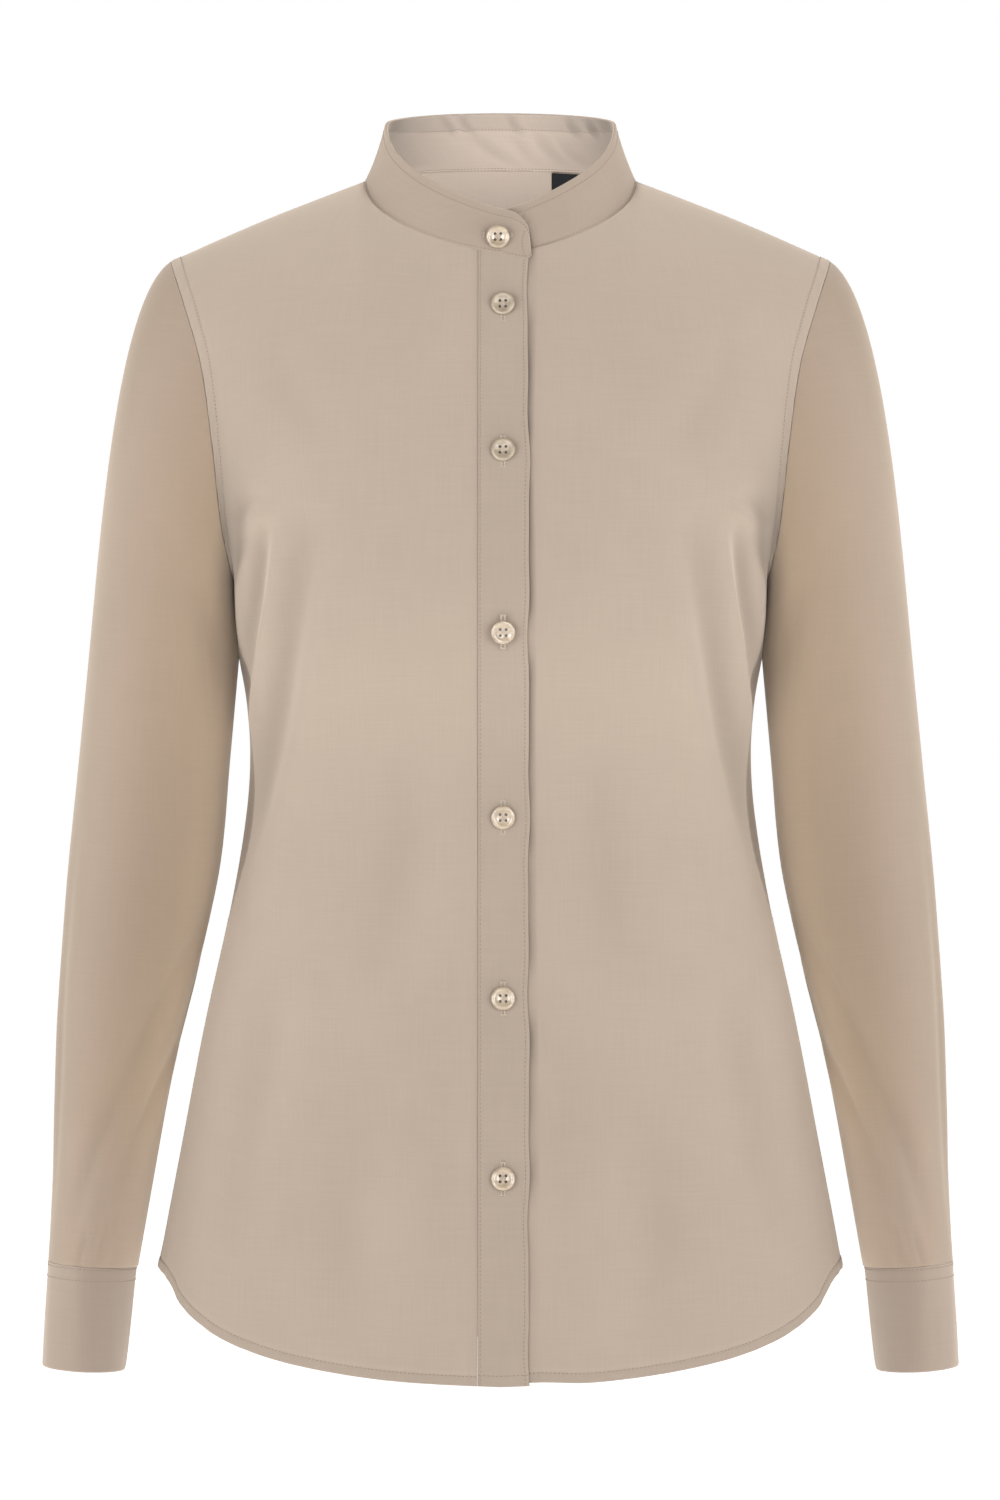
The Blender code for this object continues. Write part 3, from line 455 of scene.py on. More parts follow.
    def roll(self, face: Face, across: Array, share: Array) -> Array:
        """Give points between the chest and the top edge, on columns that roll over."""
        across, share = np.broadcast_arrays(np.asarray(across, float), share)
        low = np.full_like(across, self.roll_start)
        start, end = self.chest(face, across, low), self.soft_top_edge(face, across)
        reach = (1 - self.roll_start) / self.slope_step
        leave = (start - self.chest(face, across, low - self.slope_step)) * reach
        neck_way = (self.middle(face, 1.0) - self.middle(face, 1.0 - self.slope_step)) * reach
        shoulder_way = stack(0.0, self.roll_speed * (end[..., 1] - start[..., 1]),
                             self.roll_climb)
        blend = ease(np.abs(across) / self.neck_share)[..., None]
        arrive = neck_way + (shoulder_way - neck_way) * blend
        corner = self.top_edge(face, across) - end
        share = share[..., None]
        return hermite(start, leave, end, arrive, share) + corner * share ** self.corner_fade

    def upper(self, face: Face, across: Array, rise: Array) -> Array:
        """Give points above the underarms, held to the middle line and to the armhole."""
        across, rise = np.broadcast_arrays(np.asarray(across, float), rise)
        low = self.chest(face, across, np.clip(rise, 0.0, 1.0))
        share = np.clip((rise - self.roll_start) / (1 - self.roll_start), 0.0, 1.0)
        ones = np.ones_like(across)
        square = (across ** 2)[..., None]
        high = self.roll(face, across, share)
        off_middle = self.middle(face, rise) - self.roll(face, 0 * ones, share)
        high = high + off_middle * (1 - square) ** 2
        high = high + (self.armhole(face, rise) - self.roll(face, ones, share)) * square
        return np.where((rise <= self.roll_start)[..., None], low, high)

    def point(self, face: Face, across: Array, row: Array) -> Array:
        """Give points of a panel: row is -1 at the hem, 0 at the underarm and 1 on top."""
        across, row = np.broadcast_arrays(np.asarray(across, float), np.asarray(row, float))
        hem = self.hem_height(across)
        height = hem + (self.underarm - hem) * (np.minimum(row, 0.0) + 1)
        low = self.level(face, across, height)
        return np.where((row > 0)[..., None], self.upper(face, across, np.maximum(row, 0.0)), low)

    def across_at(self, face: Face, out: Array, row: Array) -> Array:
        """Find how far across the columns lie that run at given distances out."""
        out, row = np.broadcast_arrays(np.asarray(out, float), np.asarray(row, float))
        safe = np.where(np.abs(out) < self.middle_reach, self.middle_reach, out)
        across = safe / self.first_width
        for _ in range(self.rounds):
            across = across * safe / self.point(face, across, row)[..., 0]
        return across

    def dipped(self, row: Array, out: Array) -> Array:
        """Lower the rows above the underarm where they run past the middle."""
        return np.where(row > 0, row * (1 + self.lap_dip * np.minimum(out, 0.0)), row)

    def lap_share(self, out: Array) -> Array:
        """Give the share of the lap's lift at a distance out from the middle."""
        return 1 - ease((np.abs(out) - self.lap_flat) / (self.lap_fade - self.lap_flat))


def tube(levels: tuple, turn: Array, height: Array) -> Array:
    """Give points of a sleeve or cuff: turn is 0 outside and a quarter turn in front."""
    outer, inner = column(levels, "outer", height), column(levels, "inner", height)
    middle, half_depth = column(levels, "middle", height), column(levels, "half_depth", height)
    return stack((outer + inner) / 2 + (outer - inner) / 2 * np.cos(turn),
                 middle - half_depth * np.sin(turn), height)


# ------------------------ cloth patches
CREASE_STEPS = 40
CREASE_REACH = 0.06
CREASE_FADE = 0.8
# painted light on crease ridges, as a share of the painted shade in their troughs
RIDGE_LIGHT = 0.2
TRIM_REACH = 8
UNEVEN_FADE = 0.004


def crease_shape(creases: tuple[Crease, ...], first: Array, second: Array) -> Array:
    """Work out how far creases push a cloth out.

    Args:
        creases: the creases, with paths in the same two measures.
        first: each point's first measure, such as its distance out.
        second: each point's second measure, such as its height.

    Returns:
        The push at each point, below 0 in the troughs.
    """
    total = np.zeros_like(first)
    for crease in creases:
        path = np.array(crease.path)
        steps = np.linspace(0, 1, CREASE_STEPS)
        knots = np.linspace(0, 1, len(path))
        spine = np.stack([read_curve(knots, path[:, 0], steps),
                          read_curve(knots, path[:, 1], steps)], axis=1)
        way = np.gradient(spine, axis=0)
        way /= np.linalg.norm(way, axis=1, keepdims=True)
        low, high = spine.min(axis=0) - CREASE_REACH, spine.max(axis=0) + CREASE_REACH
        near = ((first > low[0]) & (first < high[0]) & (second > low[1]) & (second < high[1]))
        if not near.any():
            continue
        offset = np.stack([first[near], second[near]], axis=-1)[:, None] - spine[None]
        index = np.argmin(np.sum(offset ** 2, axis=2), axis=1)
        chosen = offset[np.arange(len(index)), index]
        along = np.sum(chosen * way[index], axis=1)
        aside = way[index, 0] * chosen[:, 1] - way[index, 1] * chosen[:, 0]
        strength = np.sin(math.pi * np.clip(steps[index], 0, 1)) ** CREASE_FADE
        past_end = (index == 0) | (index == CREASE_STEPS - 1)
        strength = np.where(past_end, strength * bell(along, crease.width), strength)
        push = (-crease.depth * bell(aside, crease.width)
                + crease.ridge * bell(aside - crease.ridge_shift, crease.width))
        total[near] += strength * push
    return total


def crease_shade(creases: tuple[Crease, ...], first: Array, second: Array, dark: float) -> Array:
    """Work out the painted shade in the troughs and the painted light on the ridges: dark is the
    share per metre deep.
    """
    plain = tuple(crease._replace(depth=crease.depth * dark,
                                  ridge=crease.ridge * dark * RIDGE_LIGHT)
                  for crease in creases)
    return crease_shape(plain, first, second)


def ripple(place: Array, seed: float, pitch: float) -> Array:
    """Give an uneven wave along a line, between about -1 and 1."""
    turn = 2 * math.pi * place / pitch
    return (np.sin(turn + seed) * 0.5 + np.sin(turn * 1.618 + 2.3 * seed) * 0.3
            + np.sin(turn * 0.377 + 5.1 * seed) * 0.4)


def waved(wave: Wave, along: Array, away: Array) -> Array:
    """Give a wave's push at each point's place along its line and distance from the edge."""
    return wave.height * ripple(along, wave.seed, wave.pitch) * bell(away - wave.away, wave.width)


def uneven(along: Array, edges: Array, height: float, seed: float, pitch: float) -> Array:
    """Give the push of a faint unevenness, which fades out at the edges."""
    return height * ripple(along, seed, pitch) * ease(edges / UNEVEN_FADE)


def turned_edge(edge: Array, depth: float, reach: float) -> Array:
    """Give the push of a turned edge, which rounds off over its last stretch."""
    return -depth * (1 - ease(edge / reach))


def drawn_in(edge: Array, distance: Any, depth: float, width: float) -> Array:
    """Give the push of a row of stitches, which draws the cloth in at a distance from an edge."""
    return -depth * bell(edge - distance, width)


def shaded(shades: tuple[PaintedShade, ...], height: Array, away: Array) -> Array:
    """Add up soft spots of painted shade and painted light at each point's height and distance or
    share.
    """
    return sum(shade.tone * bell(height - shade.height, shade.spread)
               * bell(away - shade.away, shade.width) for shade in shades)


class Patch:
    """A grid of cloth points, rows cross columns, with its lengths and outward normals."""

    def __init__(self, points: Array, centre: Pair = (0.0, 0.0)) -> None:
        """Keep the points; the outside is the side away from the axis through centre."""
        self.points = np.array(points)
        self.centre = centre
        self.measure()

    def measure(self) -> None:
        """Work out the distances from each edge along the cloth."""
        across = np.linalg.norm(np.diff(self.points, axis=1), axis=2)
        along = np.linalg.norm(np.diff(self.points, axis=0), axis=2)
        self.from_first = np.pad(np.cumsum(across, axis=1), ((0, 0), (1, 0)))
        self.from_last = self.from_first[:, -1:] - self.from_first
        self.from_foot = np.pad(np.cumsum(along, axis=0), ((1, 0), (0, 0)))
        self.from_top = self.from_foot[-1:] - self.from_foot

    def normals(self) -> Array:
        """Give each point's outward normal."""
        along, across = np.gradient(self.points, axis=0), np.gradient(self.points, axis=1)
        normals = np.cross(across, along)
        normals /= np.maximum(np.linalg.norm(normals, axis=2, keepdims=True), 1e-12)
        axis = np.array((self.centre[0], self.centre[1], self.points[:, :, 2].mean()))
        return normals * np.sign(np.sum(normals * (self.points - axis), axis=2).mean())

    def push(self, amount: Array) -> Patch:
        """Move each point out by an amount of its own."""
        self.points = self.points + self.normals() * np.asarray(amount)[..., None]
        return self

    def trim(self, edge: str, gap: float) -> Patch:
        """Pull the first, last, top or foot edge back along the cloth."""
        away, order = getattr(self, "from_" + edge), slice(None)
        if edge in ("last", "top"):
            order = slice(None, None, -1)
        level = edge in ("first", "last")
        lines = self.points if level else self.points.transpose(1, 0, 2)
        for line, places in zip(lines, away if level else away.T):
            line[order] = self.slid(line[order], places[order], gap)
        self.measure()
        return self

    @staticmethod
    def slid(line: Array, places: Array, gap: float) -> Array:
        """Move a line's first points along it so that it starts a gap further on."""
        reach = TRIM_REACH * gap
        moved = places + gap * np.clip(1 - places / reach, 0, 1)
        return np.stack([np.interp(moved, places, line[:, axis]) for axis in range(3)], axis=1)

    def line(self, away: Array, distance: Any, inside: float = 0.0) -> tuple[Array, Array]:
        """Trace the line that runs at a distance from an edge.

        Args:
            away: the distances from that edge, one of this patch's own arrays.
            distance: how far from the edge the line runs, one value or one for each place.
            inside: how far below the outer face it lies.

        Returns:
            The line's points and their normals.
        """
        normals = self.normals()
        by_column = away is self.from_foot or away is self.from_top
        grid = self.points if by_column else self.points.transpose(1, 0, 2)
        facing = normals if by_column else normals.transpose(1, 0, 2)
        places = away if by_column else away.T
        if places[0, 0] > places[-1, 0]:
            grid, facing, places = grid[::-1], facing[::-1], places[::-1]
        points, outward = (
            np.array([[np.interp(reach, places[:, index], values[:, index, axis])
                       for axis in range(3)]
                      for index, reach in enumerate(np.broadcast_to(distance, grid.shape[1]))])
            for values in (grid, facing))
        outward /= np.linalg.norm(outward, axis=1, keepdims=True)
        return points - outward * inside, outward

    def fabric(self, middle_column: int = 0, level_row: int = 0) -> Array:
        """Give each point's place on the flat cloth, counted from a column and a row."""
        across = self.from_first - self.from_first[:, middle_column:middle_column + 1]
        along = self.from_foot - self.from_foot[level_row:level_row + 1]
        return np.stack([across, along], axis=-1)


@dataclass
class ClothMaker:
    """Turns patches into cloth pieces."""

    collection: bpy.types.Collection
    weld: float = 1e-6

    def shell(self, name: str, patch: Patch, fabric: Array, thickness: float, finish: Any,
              side: Side = Side.LEFT, closed: bool = False, inner: Any = None,
              tone: Any = 0.0, inner_tone: Any = 0.0,
              painted_bounce_warmth: Any = 0.0) -> bpy.types.Object:
        """Make a cloth shell whose outer face runs through a patch's points.

        Args:
            name: the piece's name.
            patch: the points of its outer face.
            fabric: each point's place on the flat cloth, which becomes the UV map.
            thickness: the cloth's thickness.
            finish: the material.
            side: the wearer's side; a patch is worked out for the left and mirrored.
            closed: whether the first and last columns are one line.
            inner: the material of its inner face, where that isn't the same.
            tone: how much lighter or darker the cloth is at each point, as a share; mostly painted
                light and painted shade.
            inner_tone: the same painted light and painted shade, for a separate inner material.
            painted_bounce_warmth: how far the cloth's colour goes to its warmer tint at each point,
                as painted warm bounce light.

        Returns:
            The new object.
        """
        rows, columns = patch.points.shape[0] - 1, patch.points.shape[1] - 1
        sheet = bmesh.new()
        bmesh.ops.create_grid(sheet, x_segments=columns, y_segments=rows, size=1.0)
        places = patch.points.reshape(-1, 3) * (side.value, 1, 1)
        flat = fabric.reshape(-1, 2)
        layer = sheet.loops.layers.uv.new("cloth")
        shades = {"tone": tone, "inner_tone": inner_tone, "painted_bounce_warmth": painted_bounce_warmth}
        for title, values in shades.items():
            shade = sheet.verts.layers.float.new(title)
            values = np.broadcast_to(values, patch.points.shape[:2]).reshape(-1)
            for vertex, value in zip(sheet.verts, values):
                vertex[shade] = float(value)
        for vertex, place in zip(sheet.verts, places):
            vertex.co = place
        for face in sheet.faces:
            face.smooth = True
            for loop in face.loops:
                loop[layer].uv = flat[loop.vert.index]
        if closed:
            bmesh.ops.remove_doubles(sheet, verts=sheet.verts, dist=self.weld)
        sheet.normal_update()
        centre = Vector((side.value * patch.centre[0], patch.centre[1],
                         float(patch.points[:, :, 2].mean())))
        facing = sum(face.normal.dot(face.calc_center_median() - centre) for face in sheet.faces)
        if facing < 0:
            bmesh.ops.reverse_faces(sheet, faces=sheet.faces)
        piece = self.finished(name, sheet, finish)
        wall = piece.modifiers.new("cloth", "SOLIDIFY")
        wall.thickness = thickness
        wall.offset = -1.0
        if inner is not None:
            piece.data.materials.append(inner)
            wall.material_offset = 1
        return piece

    def finished(self, name: str, shape: bmesh.types.BMesh, finish: Any) -> bpy.types.Object:
        """Make an object of a finished bmesh and free the bmesh."""
        mesh = bpy.data.meshes.new(name)
        shape.to_mesh(mesh)
        shape.free()
        mesh.materials.append(finish)
        piece = bpy.data.objects.new(name, mesh)
        self.collection.objects.link(piece)
        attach(piece, BODY)
        LOG.info("%s: %d faces", name, len(mesh.polygons))
        return piece


def lay_grain(thread: bmesh.types.BMesh, place: Matrix, half_sizes: Triple,
              fine: int = 1) -> None:
    """Add a grain of thread, a ball stretched to its half sizes at its place."""
    bmesh.ops.create_icosphere(thread, subdivisions=fine, radius=1.0,
                               matrix=place @ Matrix.Diagonal((*half_sizes, 1.0)))


@dataclass
class Sewing:
    """Rows of machine stitches, each a small bead of thread laid on the cloth."""

    pitch: float = 0.0022
    length: float = 0.0014
    width: float = 0.00046
    height: float = 0.00032
    lines: list[tuple[Array, Array]] = field(default_factory=list)

    def row(self, traced: tuple[Array, Array], side: Side = Side.LEFT, start: float = 0.0,
            stop: float = 1.0) -> None:
        """Add a row of stitches along a traced line, or a share of it."""
        points, normals = traced
        count = len(points) - 1
        kept = slice(int(round(start * count)), int(round(stop * count)) + 1)
        mirror = np.array((side.value, 1, 1))
        self.lines.append((points[kept] * mirror, normals[kept] * mirror))

    def make(self, name: str, maker: ClothMaker, finish: Any) -> bpy.types.Object:
        """Make one object of all the rows."""
        beads = bmesh.new()
        for points, normals in self.lines:
            places = np.append(0, np.cumsum(np.linalg.norm(np.diff(points, axis=0), axis=1)))
            count = max(int(places[-1] / self.pitch), 1)
            for index in range(count):
                at = (index + 0.5) * places[-1] / count
                self.bead(beads, points, normals, places, at)
        for face in beads.faces:
            face.smooth = True
        piece = maker.finished(name, beads, finish)
        return piece

    def bead(self, beads: bmesh.types.BMesh, points: Array, normals: Array, places: Array,
             at: float) -> None:
        """Add one stitch at a distance along its line."""
        def read(values: Array, where: float) -> Vector:
            """Read a line's points or normals at a distance along it."""
            return Vector([float(np.interp(where, places, values[:, axis])) for axis in range(3)])

        way = (read(points, at + self.length / 2) - read(points, at - self.length / 2)).normalized()
        up = read(normals, at).normalized()
        aside = up.cross(way).normalized()
        up = way.cross(aside).normalized()
        turned = Matrix((way, aside, up)).transposed().to_4x4()
        lay_grain(beads, Matrix.Translation(read(points, at)) @ turned,
                  (self.length / 2, self.width / 2, self.height))


# ------------------------ materials
class Socket:
    """A shader socket that can be used in Python expressions."""

    def __init__(self, shader: Shader, value: Any) -> None:
        """Wrap a socket of one shader."""
        self.shader, self.value = shader, value

    def maths(self, operation: str, *others: Any) -> Socket:
        """Add a Math node that works on this socket and others."""
        return self.shader.node("ShaderNodeMath", {"operation": operation},
                                {index: item for index, item in enumerate((self, *others))})

    def __add__(self, other: Any) -> Socket:
        """Add."""
        return self.maths("ADD", other)

    def __sub__(self, other: Any) -> Socket:
        """Subtract."""
        return self.maths("SUBTRACT", other)

    def __mul__(self, other: Any) -> Socket:
        """Multiply."""
        return self.maths("MULTIPLY", other)


class Shader:
    """A material's nodes, ending in one Principled shader."""

    def __init__(self, name: str, **constants: Any) -> None:
        """Make the material and set the shader's own sockets."""
        self.material = bpy.data.materials.new(name)
        self.material.use_nodes = True
        self.nodes, self.links = self.material.node_tree.nodes, self.material.node_tree.links
        self.principled = self.nodes["Principled BSDF"]
        for socket, value in constants.items():
            self.principled.inputs[socket.replace("_", " ")].default_value = value

    def node(self, kind: str, settings: dict[str, Any] | None = None,
             inputs: dict[Any, Any] | None = None, output: Any = 0) -> Socket:
        """Add any node.

        Args:
            kind: the node's type.
            settings: its own settings, set before its sockets.
            inputs: values or sockets for its inputs, by name or number.
            output: the output to return.

        Returns:
            That output as a Socket.
        """
        made = self.nodes.new(kind)
        for name, value in (settings or {}).items():
            setattr(made, name, value)
        for name, value in (inputs or {}).items():
            value = value.value if isinstance(value, Socket) else value
            if isinstance(value, bpy.types.NodeSocket):
                self.links.new(value, made.inputs[name])
            else:
                made.inputs[name].default_value = value
        return Socket(self, made.outputs[output])

    def feed(self, name: str, source: Socket) -> None:
        """Link a socket to the shader's input of that name."""
        self.links.new(source.value, self.principled.inputs[name])

    def mix(self, factor: Any, low: Any, high: Any) -> Socket:
        """Mix two colours."""
        return self.node("ShaderNodeMix", {"data_type": "RGBA", "clamp_factor": True},
                         {"Factor": factor, 6: low, 7: high}, output=2)

    def noise(self, place: Socket, scale: float, detail: float,
              stretch: Sizes = (1.0, 1.0, 1.0)) -> Socket:
        """Read a noise over a place that is stretched first."""
        moved = self.node("ShaderNodeMapping", {"vector_type": "POINT"},
                          {"Vector": place, "Scale": stretch})
        return self.node("ShaderNodeTexNoise", {},
                         {"Vector": moved, "Scale": scale, "Detail": detail, "Roughness": 0.55})


@dataclass(frozen=True)
class CottonFinish:
    """Plain-woven beige cotton, matt, with slightly uneven threads."""

    name: str = "beige_cotton"
    colour: Triple = (0.387, 0.316, 0.2565)
    threads_per_metre: float = 2100.0
    # the warmer tint that painted warm bounce light mixes in
    painted_bounce_tint: Triple = (1.0, 0.975, 0.90)
    shade: float = 0.055
    # the attribute that scales the colour: a few plain tones, mostly painted light and painted
    # shade
    tone_and_painted_shade: str = "tone"
    slub_scale: float = 30.0
    slub_stretch: float = 34.0
    cloud_scale: float = 11.0
    thread_depth: float = 0.00005
    roughness: float = 0.86

    def make(self) -> bpy.types.Material:
        """Make the material."""
        shader = Shader(self.name, Roughness=self.roughness, Diffuse_Roughness=1.0,
                        Sheen_Weight=0.5, Sheen_Roughness=0.5,
                        Sheen_Tint=(1.0, 0.86, 0.72, 1.0), Specular_IOR_Level=0.2)
        place = shader.node("ShaderNodeUVMap", {"uv_map": "cloth"})
        split = shader.node("ShaderNodeSeparateXYZ", {}, {0: place})
        across, along = split, Socket(shader, split.value.node.outputs[1])
        slub_across = shader.noise(place, self.slub_scale, 2.0, (1.0, self.slub_stretch, 1.0))
        slub_along = shader.noise(place, self.slub_scale, 2.0, (self.slub_stretch, 1.0, 1.0))
        cloud = shader.noise(place, self.cloud_scale, 3.0)
        turn = math.pi * self.threads_per_metre
        weave = ((across * turn).maths("SINE") * (along * turn).maths("SINE")) * 0.5 + 0.5
        uneven = (slub_across + slub_along) * 0.5
        dark = tuple(part * (1 - self.shade) for part in self.colour) + (1.0,)
        light = tuple(min(part * (1 + self.shade), 1.0) for part in self.colour) + (1.0,)
        tone = (uneven - 0.5) * 1.6 + (cloud - 0.5) * 1.1 + (weave - 0.5) * 0.35 + 0.5
        plain = shader.mix(tone, dark, light)
        tinted = shader.node("ShaderNodeVectorMath", {"operation": "MULTIPLY"},
                             {0: plain, 1: self.painted_bounce_tint})
        # painted warm bounce light: the painted_bounce_warmth attribute moves the colour to the
        # warmer tint
        painted_bounce_warmth = shader.node("ShaderNodeAttribute", {"attribute_name": "painted_bounce_warmth"}, output="Fac")
        # painted light and painted shade: the colour is scaled by one plus the attribute named by
        # tone_and_painted_shade
        level = shader.node("ShaderNodeAttribute", {"attribute_name": self.tone_and_painted_shade},
                            output="Fac") + 1.0
        shader.feed("Base Color", shader.node("ShaderNodeVectorMath", {"operation": "SCALE"},
                                              {0: shader.mix(painted_bounce_warmth, plain, tinted),
                                               "Scale": level}))
        relief = weave * 0.6 + uneven * 0.8
        shader.feed("Normal", shader.node("ShaderNodeBump", {},
                                          {"Strength": 0.35, "Distance": self.thread_depth,
                                           "Height": relief}))
        return shader.material


@dataclass(frozen=True)
class ThreadFinish:
    """Sewing thread, a shade lighter or darker than the cloth."""

    name: str
    colour: Triple

    def make(self) -> bpy.types.Material:
        """Make the material."""
        shader = Shader(self.name, Roughness=0.6, Sheen_Weight=0.2)
        place = shader.node("ShaderNodeTexCoord", output="Object")
        tone = shader.noise(place, 900.0, 1.0)
        dark = tuple(part * 0.88 for part in self.colour) + (1.0,)
        light = tuple(part * 1.08 for part in self.colour) + (1.0,)
        shader.feed("Base Color", shader.mix(tone, dark, light))
        return shader.material


@dataclass(frozen=True)
class HornFinish:
    """Polished horn-coloured plastic with soft cloudy streaks."""

    name: str = "polished_horn"
    light: Triple = (0.44, 0.345, 0.245)
    dark: Triple = (0.28, 0.21, 0.140)
    roughness: float = 0.24
    coat: float = 0.8

    def make(self) -> bpy.types.Material:
        """Make the material."""
        shader = Shader(self.name, Roughness=self.roughness, Specular_IOR_Level=0.9,
                        Coat_Weight=self.coat, Coat_Roughness=0.10)
        place = shader.node("ShaderNodeTexCoord", output="Object")
        streak = shader.noise(place, 190.0, 3.0, (1.0, 1.0, 2.2))
        tone = (streak - 0.5) * 3.0 + 0.5
        shader.feed("Base Color", shader.mix(tone, self.dark + (1.0,), self.light + (1.0,)))
        return shader.material


@dataclass(frozen=True)
class TapeFinish:
    """Black woven label tape with a fine rib."""

    name: str = "black_tape"
    colour: Triple = (0.005, 0.0055, 0.007)
    ribs_per_metre: float = 3600

    def make(self) -> bpy.types.Material:
        """Make the material."""
        shader = Shader(self.name, Roughness=0.7, Sheen_Weight=0.03, Specular_IOR_Level=0.2)
        place = shader.node("ShaderNodeUVMap", {"uv_map": "cloth"})
        split = shader.node("ShaderNodeSeparateXYZ", {}, {0: place})
        turn = math.pi * self.ribs_per_metre
        rib = (Socket(shader, split.value.node.outputs[1]) * turn).maths("SINE")
        tone = rib * 0.3 + shader.noise(place, 800.0, 1.0, (1.0, 4.0, 1.0)) * 0.6
        pale = tuple(part * 2.4 for part in self.colour) + (1.0,)
        shader.feed("Base Color", shader.mix(tone, self.colour + (1.0,), pale))
        shader.feed("Normal", shader.node("ShaderNodeBump", {},
                                          {"Strength": 0.4, "Distance": 0.00005, "Height": rib}))
        return shader.material


class Finishes:
    """The materials of the whole shirt."""

    def __init__(self) -> None:
        """Make them all."""
        self.cotton = CottonFinish().make()
        # darker copies of the same cotton for the sleeves, cuffs and collar, the sleeves also
        # warmer: painted shade
        self.sleeve = CottonFinish("sleeve_cotton", (0.346, 0.269, 0.207)).make()
        self.cuff = CottonFinish("cuff_cotton", (0.355, 0.284, 0.230)).make()
        self.collar = CottonFinish("collar_cotton_painted_shade", (0.356, 0.287, 0.231)).make()
        # a lighter copy of the cotton for the inside faces: painted light
        self.inner = CottonFinish("inner_cotton_painted_light", (0.452, 0.381, 0.325),
                                  tone_and_painted_shade="inner_tone").make()
        self.thread = ThreadFinish("seam_thread", (0.230, 0.175, 0.135)).make()
        self.dark_thread = ThreadFinish("collar_thread", (0.215, 0.162, 0.123)).make()
        self.pale_thread = ThreadFinish("button_thread", (0.44, 0.365, 0.295)).make()
        self.horn = HornFinish().make()
        # a darker copy of the horn, also rougher, for the buttons that face down: painted shade
        self.dull_and_shaded_horn = HornFinish("dull_and_shaded_horn", (0.36, 0.29, 0.205), (0.25, 0.195, 0.135),
                                    roughness=0.42, coat=0.25).make()
        # the holes' walls and floors: painted shadow
        self.hole = HornFinish("shaded_horn", (0.050, 0.032, 0.018), (0.030, 0.018, 0.010)).make()
        self.tape = TapeFinish().make()


